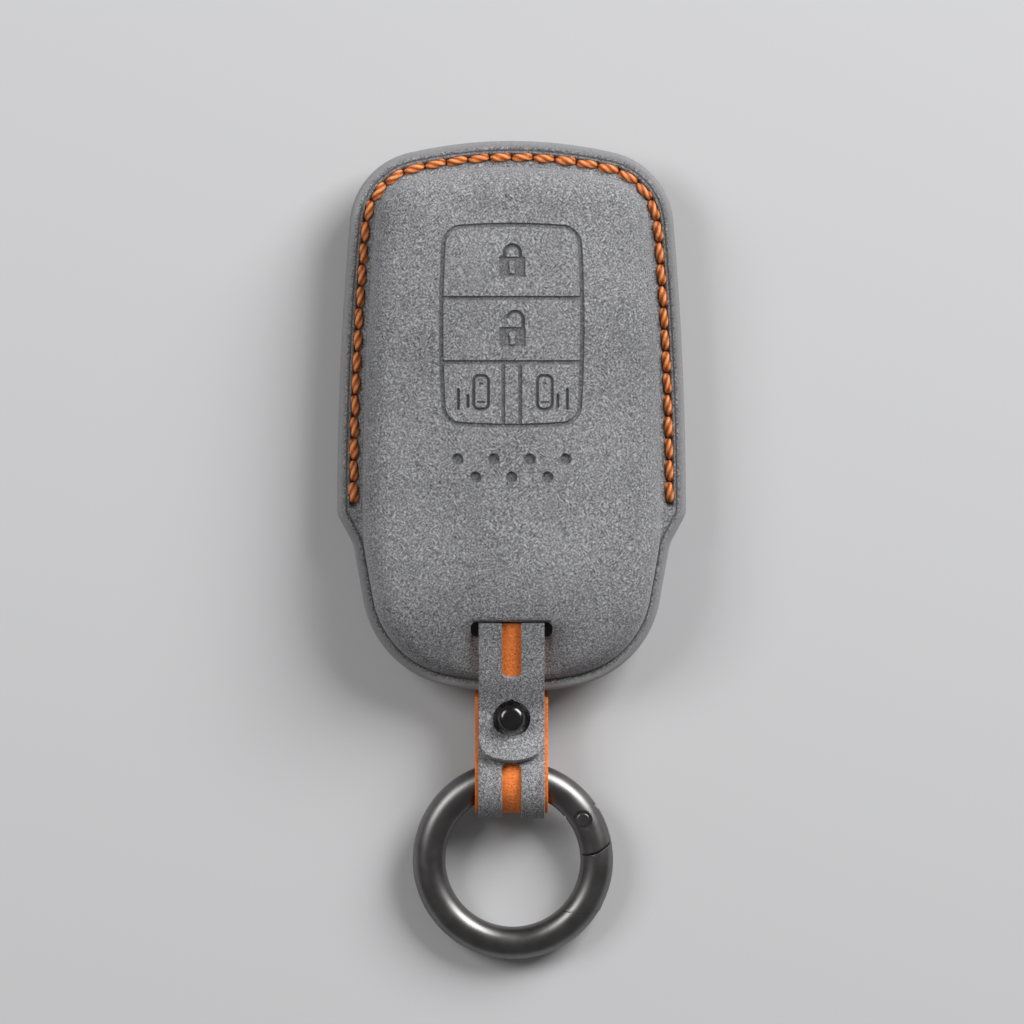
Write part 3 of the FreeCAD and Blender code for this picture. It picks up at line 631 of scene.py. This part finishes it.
def plyRings(pocket, depth, thick, across, along):
    # one ply of one half: outer face, edge and inner face, a closed solid over the seam plane
    foot, normal, reach = columns(across, along)
    shell, crease = depth == 0, cover["creaseInset"]
    mostOfFlange, liningFoot, hemGap, mouthFade, spine = 0.8, 0.02, 0.03, 0.4, 0.4
    flangeTop = cover["liningThick"] + (cover["shellThick"] if shell else 0)
    flangeLow = flangeTop - thick
    if shell:
        footRound = np.minimum(cover["footRadius"], (reach - crease) * mostOfFlange)
    else:
        footRound = np.full(len(foot), liningFoot)
    rings = []

    def addRing(points, z, zone):
        rings.append((np.column_stack([points, np.broadcast_to(z, len(points))]), zones[zone]))

    def addOut(out, z, zone):
        addRing(foot + normal * out[:, None], z, zone)

    low = flangeTop + footRound
    outer, footIn = shoulderRings(pocket, depth, low, foot, normal, count=18 if shell else 9)
    start, tangent = foot - normal * cover["crownInset"], outer[0][0]
    for share in (0, 0.35, 0.7):
        points = start + (tangent - start) * share
        addRing(points, crownHeight(pocket, *points.T) - depth, "shoulder" if share else "crown")
    for points, z in outer:
        addRing(points, z, "shoulder")
    if shell:
        for turnDeg in (20, 40, 60, 78, 90):
            turn = math.radians(turnDeg)
            out = -footIn + (footRound + footIn) * (1 - math.cos(turn))
            addOut(out, flangeTop + footRound * (1 - math.sin(turn)), "flange")
        room = (reach - footRound - crease) / (cover["flangeWidth"] - cover["footRadius"] - crease)
        for nominal in (3.3, 3.15, 3.0, 2.85, 2.7, 2.58, 2.45, 2.32,
                        2.2, 2.05, 1.9, 1.75, 1.65, 1.55, 1.45):
            addOut(reach - (crease + (nominal - crease) * room), flangeTop, "flange")
        for fromEdge in (1.36, 1.27, 1.15, 1.0, 0.85):
            addOut(reach - fromEdge, flangeTop, "flange")
        for turnDeg in (0, 18, 36, 54, 72, 90):
            turn = math.radians(turnDeg)
            fromEdge = cover["edgeRadius"] * (1 - math.sin(turn))
            addOut(reach - fromEdge, flangeTop - cover["edgeRadius"] * (1 - math.cos(turn)), "edge")
        addOut(reach, flangeLow, "edge")
    else:
        # the lining's own sewn edge stops at the mouth
        sewn = smoothStep(cover["mouthY"] - mouthFade, cover["mouthY"] + mouthFade, foot[:, 1])
        out = (reach - hemGap) * sewn + (-depth + liningFoot) * (1 - sewn)
        base = foot - normal * depth
        for share in (0.35, 0.7, 1.0):
            addRing(base + normal * ((out + depth) * share)[:, None], flangeTop, "edge")
        addRing(base + normal * (out + depth)[:, None], flangeLow, "edge")
    # inner face, back up to the crown and closed there
    low = np.full(len(foot), flangeLow)
    inner = shoulderRings(pocket, depth + thick, low, foot, normal, count=8)[0]
    for points, z in reversed(inner):
        addRing(points, z, "inside")
    for share in (1.0, 0.8, 0.6, 0.4, 0.2, 0.05):
        points = start * np.array([share, spine + (1 - spine) * share])
        addRing(points, crownHeight(pocket, *points.T) - depth - thick, "inside")
    return rings


def coonsPatch(border, across, along, u, v):
    # the crown's grid inside its border, corner to corner
    count = len(border)

    def at(index):
        low = np.floor(index).astype(int)
        part = (index - low)[:, None]
        return border[low % count] * (1 - part) + border[(low + 1) % count] * part

    half = across / 2
    bottom, top = at(-half + u * across), at(half + along + (1 - u) * across)
    right, left = at(half + v * along), at(half + along + across + (1 - v) * along)
    corner = [border[int(k) % count] for k in (-half, half, half + along, half + along + across)]
    u, v = u[:, None], v[:, None]
    edges = (1 - v) * bottom + v * top + (1 - u) * left + u * right
    low = (1 - u) * (1 - v) * corner[0] + u * (1 - v) * corner[1]
    return edges - (low + u * v * corner[2] + (1 - u) * v * corner[3])


def borderIndex(a, b, across, along):
    # place round the crown's grid, counted from the middle of the toe
    half = across / 2
    if b == 0:
        return a - half
    if a == across:
        return half + b
    if b == along:
        return half + along + across - a
    return half + 2 * along + across - b


def plyMesh(pocket, depth, thick, across, along):
    # the crown as a grid, then ring after ring drawn out of its border
    rings = plyRings(pocket, depth, thick, across, along)
    bm = bmesh.new()
    zoneLayer = bm.verts.layers.float.new("zone")
    columnLayer = bm.verts.layers.int.new("column")
    bmesh.ops.create_grid(bm, x_segments=across, y_segments=along, size=1)
    grid = vertArray(bm)
    u, v = (grid[:, 0] + 1) / 2, (grid[:, 1] + 1) / 2
    border = rings[0][0][:, :2]
    placed = coonsPatch(border, across, along, u, v)
    heights = crownHeight(pocket, *placed.T) - depth
    rows = zip(bm.verts, placed, heights, np.rint(u * across), np.rint(v * along))
    for vert, (x, y), z, a, b in rows:
        vert.co = (x, y, z)
        vert[zoneLayer] = zones["crown"]
        vert[columnLayer] = int(borderIndex(a, b, across, along)) % len(border)
    edges = openEdgesIn(bm.edges)
    for points, zone in rings[1:]:
        made = bmesh.ops.extrude_edge_only(bm, edges=edges)["geom"]
        for vert in vertsIn(made):
            vert.co = points[vert[columnLayer]]
            vert[zoneLayer] = zone
        edges = openEdgesIn(made)
    bmesh.ops.edgeloop_fill(bm, edges=edges)
    bmesh.ops.recalc_face_normals(bm, faces=bm.faces)
    return bm, zoneLayer


def refine(bm, zoneLayer, zone, near, margin, cuts):
    # more faces in a zone, near its pressed detail
    def inZone(face):
        return all(abs(v[zoneLayer] - zones[zone]) < zoneSlack for v in face.verts)

    faces = [f for f in bm.faces if inZone(f)]
    middles = np.array([f.calc_center_median() for f in faces])
    chosen = near(middles[:, 0], middles[:, 1], margin)
    edges = dict.fromkeys(e for f, c in zip(faces, chosen) if c for e in f.edges)
    bmesh.ops.subdivide_edges(bm, edges=list(edges), cuts=cuts, use_grid_fill=True)


def pressRelief(bm, zoneLayer, pocket, depth, thick):
    # pressed signs, the seam's groove, the strap's bed and the slot's lip
    shell, front = depth == 0, pocket["side"] > 0
    if shell and front:
        refine(bm, zoneLayer, "crown", nearPress, margin=0.36, cuts=2)
        refine(bm, zoneLayer, "crown", nearPress, margin=0.16, cuts=1)
    if shell:
        refine(bm, zoneLayer, "flange", nearHole, margin=0.95, cuts=1)
    x, y, z = vertArray(bm).T
    z = z.copy()
    zone = np.array([vert[zoneLayer] for vert in bm.verts])
    if shell and front:
        crown = np.abs(zone - zones["crown"]) < zoneSlack
        z[crown] = crownHeight(pocket, x[crown], y[crown]) - pressDepth(x[crown], y[crown])[0]
    if shell:
        flange = np.abs(zone - zones["flange"]) < zoneSlack
        z[flange] -= flangeDip(x[flange], y[flange])
    outside = zone < zones["inside"] - 0.5
    for part, under in ((outside, depth), (~outside, depth + thick)):
        z[part] -= bedDepth(pocket, x[part], y[part], z[part], under)
    if front:
        # the slot's lip rolls in
        wide, back, end, drop, half = 0.45, 0.3, 1.0, 0.3, cover["slotHalf"]
        tall, top = pocket["slotReach"] / 2, cover["slotTop"]
        gap = boxDistance(x, y - top + tall, half, tall, cover["slotCorner"])
        ends = 1 - smoothStep(half - end, half, np.abs(x))
        roll = (1 - smoothStep(0, wide, gap)) * (y > top - back) * ends
        z[outside] -= drop * roll[outside]
    for vert, height in zip(bm.verts, z):
        vert.co.z = cover["seamZ"] + pocket["side"] * height


def cutSlot(piece, pocket):
    half, tall = cover["slotHalf"], pocket["slotReach"] / 2
    middle = cover["slotTop"] - tall
    corners = [(-half, middle - tall), (half, middle - tall), (half, middle + tall), (-half, middle + tall)]
    line = roundedLine(corners, [cover["slotCorner"]] * 4, True)
    low, high = sorted(cover["seamZ"] + pocket["side"] * height for height in cover["slotSpan"])
    carve(piece, extrudedOutline(line, low, high))
    piece.data.set_sharp_from_angle(angle=math.radians(cover["sharpDeg"]))


def mouldedPly(node, pocket, depth, thick, grid, slot):
    bm, zoneLayer = plyMesh(pocket, depth, thick, *grid)
    pressRelief(bm, zoneLayer, pocket, depth, thick)
    faceOutwards(bm)
    piece = finishPiece(node + "_moulded", bm, slot, cover["sharpDeg"])
    cutSlot(piece, pocket)
    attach(piece, "case")
    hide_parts(node)
    return piece


def paintShell(piece, pocket):
    # where lines, signs, crease, seam groove and stitch holes are darkened, partly as pressed nap and partly
    # as painted shade, and where the edge is painted smooth
    x, y, z = pieceArray(piece).T
    lift = (z - cover["seamZ"]) * pocket["side"]
    pressedAndShade = np.zeros(len(x))
    paint = np.zeros(len(x))
    flangeBelow, crownAbove, creaseDark, grooveShade = 2.4, 4, 0.75, 0.45
    flange = lift < flangeBelow
    spot = x[flange], y[flange]
    inset, crease, groove, hole = seamShares(*spot, creaseHalf=0.17, grooveHalf=0.62, holeHalf=0.5)
    # stitch holes and seam groove darkened as painted shade in the hollows; the crease partly pressed nap,
    # partly painted shade
    dark = np.clip(creaseDark * crease + hole + grooveShade * groove, 0, 1)
    pressedAndShade[flange] = dark * smoothStep(0.6, 1.2, inset)
    paint[flange] = 1 - smoothStep(0.75, 1.1, inset)
    if pocket["side"] > 0:
        top = lift > crownAbove
        pressedAndShade[top] = np.maximum(pressedAndShade[top], pressDepth(x[top], y[top])[1])
    addAttribute(piece, "pressedAndShade", pressedAndShade)
    addAttribute(piece, "paint", paint)


liningDepth = cover["shellThick"] + cover["plyGap"]
liningThick = cover["liningThick"] - cover["plyGap"]
for sideName, pocket in pockets.items():
    shell = mouldedPly(sideName + "_shell", pocket, 0, cover["shellThick"], cover["shellGrid"], "suede")
    paintShell(shell, pocket)
    mouldedPly(sideName + "_lining", pocket, liningDepth, liningThick, cover["liningGrid"], "pocket_lining")
    print(sideName, "half:", len(shell.data.polygons), "faces")


# stitches: one twisted thread between each two holes

stitch = {"strands": 3, "sides": 15, "rings": 13, "turns": 0.62, "slantDeg": 6.0, "sink": 0.85,
          "seeds": {1: 11, -1: 12}}


def stitchMesh(length, radius, startTurn):
    # a round with lobes, twisted as it is drawn along, thin where it dives into its holes
    lobeShare, flat, endThin, power = 0.1, 0.92, 0.5, 5
    bm = bmesh.new()
    layLayer = bm.verts.layers.float.new("strandShade")
    columnLayer = bm.verts.layers.int.new("column")
    ring = bmesh.ops.create_circle(bm, segments=stitch["sides"], radius=1)["verts"]
    edges = list(bm.edges)
    angles = [math.atan2(v.co.y, v.co.x) for v in ring]
    for i, v in enumerate(ring):
        v[columnLayer] = i
    for k in range(stitch["rings"] + 1):
        share = k / stitch["rings"]
        dive = abs(2 * share - 1) ** power
        swell = radius * (1 - endThin * dive)
        middleX, middleZ = (share - 0.5) * length, -stitch["sink"] * dive
        if k:
            made = bmesh.ops.extrude_edge_only(bm, edges=edges)["geom"]
            ring, edges = vertsIn(made), openEdgesIn(made)
        twist = math.tau * stitch["turns"] * share + startTurn
        for v in ring:
            angle = angles[v[columnLayer]]
            lobe = math.cos(stitch["strands"] * (angle - twist))
            reach = swell * (1 + lobeShare * lobe)
            v.co = (middleX, reach * math.cos(angle), middleZ + reach * flat * math.sin(angle))
            # each strand's crest lighter and the valleys between strands darker: painted highlight and shade
            v[layLayer] = 0.5 + 0.5 * lobe
    bmesh.ops.holes_fill(bm, edges=openEdgesIn(bm.edges), sides=0)
    faceOutwards(bm)
    return bm


def sewnThread(name, side, node):
    chance = random.Random(stitch["seeds"][side])
    lengthShare, spreadDeg, lastCount, lastThick = 0.95, 2, 4, (1.05, 1.16)
    z = cover["seamZ"] + side * (cover["shellThick"] + cover["liningThick"] + seam["lift"])
    whole = bmesh.new()
    whole.verts.layers.float.new("strandShade")
    for i in range(seam["stitches"]):
        a, b = seamHoles[i], seamHoles[i + 1]
        way, middle = b - a, (a + b) / 2
        thick = seam["radius"] * chance.uniform(0.92, 1.05)
        if side > 0 and i >= seam["stitches"] - lastCount:
            thick *= lastThick[i % 2]
        length = float(np.hypot(*way)) * lengthShare
        one = stitchMesh(length, thick, chance.uniform(0, math.tau))
        slant = stitch["slantDeg"] + chance.uniform(-spreadDeg, spreadDeg)
        turn = math.atan2(way[1], way[0]) + math.radians(slant) * side
        place = Matrix.Translation((middle[0], middle[1], z)) @ Matrix.Rotation(turn, 4, "Z")
        if side < 0:
            place = place @ Matrix.Rotation(math.pi, 4, "X")
        bmesh.ops.transform(one, matrix=place, verts=one.verts)
        part = bpy.data.meshes.new("stitch")
        one.to_mesh(part)
        one.free()
        whole.from_mesh(part)
        bpy.data.meshes.remove(part)
    piece = finishPiece(name, whole, "thread", sharpDeg=60)
    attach(piece, "case")
    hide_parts(node)
    print(name, len(piece.data.polygons), "faces")


sewnThread("front_stitching", 1, "front_thread")
sewnThread("back_stitching", -1, "back_thread")


# strap and tab: cut flat, eased at the edges, then laid along their run

strap = {"suedeHalf": 4.95, "liningHalf": 5.45, "suedeThick": 0.8, "liningThick": 0.7,
         "corners": [(-32.25, 11.5), (-32.25, 1.75), (-43.4, 5.75), (-48.0, 5.75),
                     (-58.4, -2.544), (-58.4, 11.734), (-48.0, 5.79), (-41.8, 5.79)],
         "radii": [0, 1.0, 5.0, 4.0, 3.75, 3.75, 4.0, 0],
         "windowHalf": 1.425, "windowCorner": 1.2, "windowY": -52.2,
         "studY": -45.0, "studHole": 1.65}
tab = {"half": 4.9, "endY": -51.4, "endRound": 8.0, "cornerRound": 4.0,
       "windowEnd": -38.8, "windowCorner": 0.85, "holeRadius": 2.78, "peakY": 2.55, "peakRadius": 0.45}
strip = {"step": 0.27, "closest": 0.08, "edge": 0.12, "edgeAngle": 1.2, "flat": 0.01}


def bentRun(corners, radii):
    line = evenLine(roundedLine(corners, radii), step=0.05)
    return line, -rightSide(line), runLength(line)


def trimRim(bm, half, total, kept):
    # moves the cut edge onto the line where kept is nought
    small, most, within, leastSteep = strip["flat"], 0.6, 0.55, 0.25
    trims, evenTrims = 6, 4
    rim = [v for v in bm.verts if v.is_boundary]
    curved = [v for v in rim if abs(abs(v.co.x) - half) > small and small < v.co.y < total - small]
    for again in range(trims):
        x, y = np.array([v.co for v in rim])[:, :2].T
        gap = np.clip(kept(x, y), -most, most)
        slopeX = (kept(x + small, y) - kept(x - small, y)) / (2 * small)
        slopeY = (kept(x, y + small) - kept(x, y - small)) / (2 * small)
        steep = np.maximum(slopeX ** 2 + slopeY ** 2, leastSteep)
        for v, g, dx, dy, k in zip(rim, gap, slopeX, slopeY, steep):
            if abs(g) < within:
                v.co.x -= g * dx / k
                v.co.y -= g * dy / k
        # even out the points along a cut before its last trims
        if again < evenTrims:
            eased = {}
            for v in curved:
                beside = [e.other_vert(v) for e in v.link_edges if e.is_boundary]
                eased[v] = (v.co + (beside[0].co + beside[1].co) / 2) / 2
            for v, spot in eased.items():
                v.co = spot


def cutStrip(node, run, half, low, high, keep, slot):
    # a flat strip, trimmed to its cut shape, given its thickness and bent along the run
    line, up, lengths = run
    total = lengths[-1]
    planY = line[:, 0] + up[:, 0] * (low + high) / 2

    def kept(x, s):
        return keep(x, s, np.interp(s, lengths, planY))

    bm = bmesh.new()
    rows, cols = int(total / strip["step"]), int(half * 2 / strip["step"])
    bmesh.ops.create_grid(bm, x_segments=cols, y_segments=rows, size=1)
    for v in bm.verts:
        v.co = (v.co.x * half, (v.co.y + 1) / 2 * total, 0)
    faces = list(bm.faces)
    middles = np.array([f.calc_center_median() for f in faces])
    gone = [f for f, k in zip(faces, kept(middles[:, 0], middles[:, 1])) if k < 0]
    bmesh.ops.delete(bm, geom=gone, context="FACES")
    trimRim(bm, half, total, kept)
    bmesh.ops.remove_doubles(bm, verts=bm.verts, dist=strip["closest"])
    raised = bmesh.ops.extrude_face_region(bm, geom=list(bm.faces))
    bmesh.ops.translate(bm, vec=(0, 0, high - low), verts=vertsIn(raised["geom"]))
    bmesh.ops.recalc_face_normals(bm, faces=bm.faces)
    lying = [e for e in bm.edges if abs(e.verts[0].co.z - e.verts[1].co.z) < strip["flat"]]
    sharp = [e for e in lying if e.calc_face_angle() > strip["edgeAngle"]]
    bmesh.ops.bevel(bm, geom=sharp, offset=strip["edge"], segments=2, profile=0.5, affect="EDGES",
                    material=-1, clamp_overlap=True)
    co = vertArray(bm)
    laid = pairAt(co[:, 1], lengths, line) + pairAt(co[:, 1], lengths, up) * (co[:, 2] + low)[:, None]
    for v, (y, z) in zip(bm.verts, laid):
        v.co = (v.co.x, y, z)
    faceOutwards(bm)
    return finishPiece(node + "_strip", bm, slot, sharpDeg=50)


def twoPlies(prefix, run, liningHalf, suedeHalf, liningKeep, suedeKeep):
    middle = strap["liningThick"]
    top = middle + strap["suedeThick"]
    lining, outer = prefix + "_lining", prefix + "_suede"
    return {
        lining: cutStrip(lining, run, liningHalf, 0, middle, liningKeep, "strap_lining"),
        outer: cutStrip(outer, run, suedeHalf, middle, top, suedeKeep, "suede"),
    }


def passesAt(run, y):
    # lengths along the run where it first and last passes y
    line, up, lengths = run
    passes = np.nonzero(np.diff(np.sign(line[:, 0] - y)))[0]
    return lengths[passes[0]], lengths[passes[-1]]


strapPath = bentRun(strap["corners"], strap["radii"])
studStops = passesAt(strapPath, strap["studY"])
windowStops = passesAt(strapPath, strap["windowY"])


def strapHoles(x, s, y):
    within = 4
    near = np.minimum(np.abs(s - studStops[0]), np.abs(s - studStops[1])) < within
    return np.where(near, np.hypot(x, y - strap["studY"]), farAway) - strap["studHole"]


def strapLiningKeep(x, s, y):
    # narrower where it is hidden inside the cover
    inset, hiddenEnd, fullFrom = 0.25, 12.5, 17.5
    widening = strap["liningHalf"] - strap["suedeHalf"] + inset
    wide = strap["suedeHalf"] - inset + widening * smoothStep(hiddenEnd, fullFrom, s)
    return np.minimum(strapHoles(x, s, y), wide - np.abs(x))


def strapSuedeKeep(x, s, y):
    middle, halfRun = sum(windowStops) / 2, (windowStops[1] - windowStops[0]) / 2
    window = boxDistance(x, s - middle, strap["windowHalf"], halfRun, strap["windowCorner"])
    return np.minimum(strapHoles(x, s, y), window)


def tabOutline(x, y, endY):
    # positive inside the tab's rounded end
    bow = tab["endRound"] - np.hypot(x, y - endY - tab["endRound"])
    long, past = 30, 0.35
    corner = -boxDistance(x, y - endY - long, tab["half"], long + past, tab["cornerRound"])
    atEnd = (y < endY + tab["endRound"]) & (np.abs(x) < tab["endRound"])
    return np.minimum(np.where(atEnd, np.minimum(corner, bow), corner), tabRun["rootY"] - y)


def tabHole(x, y):
    ball = np.hypot(x, y - strap["studY"]) - tab["holeRadius"]
    peak = np.hypot(x, y - strap["studY"] - tab["peakY"]) - tab["peakRadius"]
    return np.minimum(ball, peak)


def tabLiningKeep(x, s, y):
    inset, wider = 0.2, 0.3
    return np.minimum(tabOutline(x, y, tab["endY"] + inset), tabHole(x, y) - wider)


def tabSuedeKeep(x, s, y):
    long = 20.0
    window = boxDistance(x, y - tab["windowEnd"] - long, strap["windowHalf"], long, tab["windowCorner"])
    return np.minimum(np.minimum(tabOutline(x, y, tab["endY"]), tabHole(x, y)), window)


strapPlies = twoPlies("strap", strapPath, strap["liningHalf"], strap["suedeHalf"],
                      strapLiningKeep, strapSuedeKeep)
for node, piece in strapPlies.items():
    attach(piece, "case")
    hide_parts(node)
tabPath = bentRun(tabRun["corners"], tabRun["radii"])
for node, piece in twoPlies("tab", tabPath, tab["half"], tab["half"], tabLiningKeep, tabSuedeKeep).items():
    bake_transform(piece)
    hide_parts(node)
print("strap and tab laid")


# metal: CAD forms with eased edges, a turned stud and the gate's spring

ring = {"x": 0.2, "y": -66.08, "z": 3.9, "radius": 12.5, "wire": 2.45, "lean": 0.11431,
        "hingeY": -69.0, "skin": 0.07, "seamEdge": 0.13, "edge": 0.06, "edgeAngle": 0.7,
        "pin": (10.65744, -59.85754, 4.61228), "pinWay": (0, 0.114055, -0.993474),
        "endStretch": 0.11, "endNear": 0.02, "springWay": (-0.68057, 0.72792, 0.08357),
        "springEnd": (0.0057841, -0.0552121, 0.0051456), "springKeep": 0.9}


def atHinge(spot):
    # on the wire's skin, in the half that holds the hinge
    x, y, z = spot.x - ring["x"], spot.y - ring["y"], spot.z - ring["z"]
    cos, sin = math.cos(ring["lean"]), math.sin(ring["lean"])
    fromWire = math.hypot(math.hypot(x, y * cos + z * sin) - ring["radius"], z * cos - y * sin)
    return spot.y > ring["hingeY"] and abs(fromWire - ring["wire"]) < ring["skin"]


def mergedCopy(node):
    bm = bmesh.new()
    bm.from_mesh(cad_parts[node].data)
    bmesh.ops.scale(bm, vec=(1 / mm, 1 / mm, 1 / mm), verts=bm.verts)
    bmesh.ops.remove_doubles(bm, verts=bm.verts, dist=0.0005)
    return bm


def closeEnd(bm):
    # the gate's free end all but meets the body, along its arc about the hinge pin
    pin, way = Vector(ring["pin"]), Vector(ring["pinWay"])
    arms = {}
    for v in bm.verts:
        arm = v.co - pin
        arms[v] = arm - way * arm.dot(way)
    reach = max(arm.length for arm in arms.values())
    for v, arm in arms.items():
        if arm.length > reach - ring["endNear"]:
            v.co += arm.normalized() * ring["endStretch"]


def easeEdges(bm, hinged):
    # all corners, or on the hinged pieces those of the seam
    bmesh.ops.dissolve_limit(bm, angle_limit=0.004, verts=bm.verts, edges=bm.edges)
    corners = [e for e in bm.edges if len(e.link_faces) == 2 and e.calc_face_angle() > ring["edgeAngle"]]
    if hinged:
        corners = [e for e in corners if all(atHinge(v.co) for v in e.verts)]
    bmesh.ops.bevel(bm, geom=corners, offset=ring["seamEdge" if hinged else "edge"], segments=2, profile=0.5,
                    affect="EDGES", material=-1, clamp_overlap=True)
    bmesh.ops.dissolve_degenerate(bm, dist=0.0002, edges=bm.edges)


def metalPiece(name, bm, node, slot, body):
    piece = finishPiece(name, bm, slot, sharpDeg=32)
    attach(piece, body)
    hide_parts(node)
    return piece


for node, slot, body, hinged in (
    ("ring_body", "gunmetal", "ring", True), ("ring_gate", "gunmetal", "gate", True),
    ("gate_pin", "gunmetal", "ring", False), ("stud_screw", "black_nickel", "case", False),
):
    bm = mergedCopy(node)
    if node == "ring_gate":
        closeEnd(bm)
    easeEdges(bm, hinged)
    metalPiece(node + "_eased", bm, node, slot, body)
bm = mergedCopy("gate_spring")
coil = metalPiece("gate_spring_coil", bm, "gate_spring", "spring_steel", "ring")
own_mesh(coil)

stud = {"y": -45.0, "ball": 2.1, "ballZ": 9.39, "fullness": 4.0, "neck": 1.25,
        "base": 1.85, "baseZ": 7.29, "baseThick": 0.5, "post": 1.6, "lowZ": 4.25, "bore": 1.05,
        "boreEnd": 0.4, "ease": 0.08, "steps": 72, "neckSteps": 10, "crownSteps": 24}


def turnedStud(y, ball, ballZ, fullness, neck, base, baseZ, baseThick, post, lowZ, bore, boreEnd,
               ease, steps, neckSteps, crownSteps):
    # half section: post, base, neck and crown, then back down the bore
    top, boreTop = baseZ + baseThick, baseZ + boreEnd
    section = [(bore, lowZ), (post, lowZ), (post, baseZ), (base - ease, baseZ),
               (base, baseZ + ease), (base, top - ease), (base - ease, top), (neck, top)]
    low = math.acos(neck / ball)
    for k in range(neckSteps + 1):
        turn = -low + low * k / neckSteps
        section.append((ball * math.cos(turn), ballZ + ball * math.sin(turn)))
    power = 2 / fullness
    for k in range(1, crownSteps + 1):
        turn = math.pi / 2 * k / crownSteps
        section.append((ball * max(math.cos(turn), 0) ** power, ballZ + ball * math.sin(turn) ** power))
    section += [(0, boreTop), (bore, boreTop), (bore, lowZ)]
    bm = bmesh.new()
    verts = [bm.verts.new((radius, 0, z)) for radius, z in section]
    # no edge along the axis, from the crown down to the bore
    pairs = list(zip(verts, verts[1:]))
    del pairs[-3]
    edges = [bm.edges.new(pair) for pair in pairs]
    bmesh.ops.spin(bm, geom=verts + edges, cent=(0, 0, 0), axis=(0, 0, 1), dvec=(0, 0, 0), angle=math.tau,
                   steps=steps, use_merge=True)
    bmesh.ops.remove_doubles(bm, verts=bm.verts, dist=0.001)
    bmesh.ops.translate(bm, vec=(0, y, 0), verts=bm.verts)
    faceOutwards(bm)
    metalPiece("ball_stud_turned", bm, "ball_stud", "black_nickel", "case")


turnedStud(**stud)
print("metal parts made")


# floor, light and camera

studio = {"floor": (0.6, 0.6, 0.61), "world": 0.14,
          "lookX": 0.00007, "lookY": -0.01423, "lookZ": 0.008, "distance": 5.0, "wide": 0.15258, "sensor": 36}
lamps = {"keyLight": {"place": (0.6, 0.58, 0.6), "size": 0.6, "power": 11.8},
         "fillLight": {"place": (-0.6, 0.3, 0.7), "size": 0.45, "power": 3.7}}

bm = bmesh.new()
bmesh.ops.create_grid(bm, x_segments=1, y_segments=1, size=2000.0)
floor = linkedObject("floor", bm)
floorFinish, floorShader = newFinish("paleFloor")
setInputs(floorFinish, floorShader, {"Base Color": (*studio["floor"], 1), "Roughness": 0.8})
floor.data.materials.append(floorFinish)

scene = bpy.context.scene
world = bpy.data.worlds.new("studio")
world.use_nodes = True
sky = world.node_tree.nodes["Background"].inputs
sky["Color"].default_value = (1, 1, 1, 1)
sky["Strength"].default_value = studio["world"]
scene.world = world

for name, lamp in lamps.items():
    light = bpy.data.lights.new(name, "AREA")
    light.shape = "RECTANGLE"
    light.size = light.size_y = lamp["size"]
    light.energy = lamp["power"]
    softbox = bpy.data.objects.new(name, light)
    softbox.location = lamp["place"]
    softbox.rotation_euler = (-Vector(lamp["place"])).to_track_quat("-Z", "Y").to_euler()
    scene.collection.objects.link(softbox)

lens = bpy.data.cameras.new("camera")
camera = bpy.data.objects.new("camera", lens)
camera.location = (studio["lookX"], studio["lookY"], studio["lookZ"] + studio["distance"])
lens.sensor_width = studio["sensor"]
lens.lens = studio["sensor"] * studio["distance"] / studio["wide"]
lens.clip_end = 10
scene.collection.objects.link(camera)
scene.camera = camera
scene.view_settings.view_transform = "Standard"

print("pieces ready")
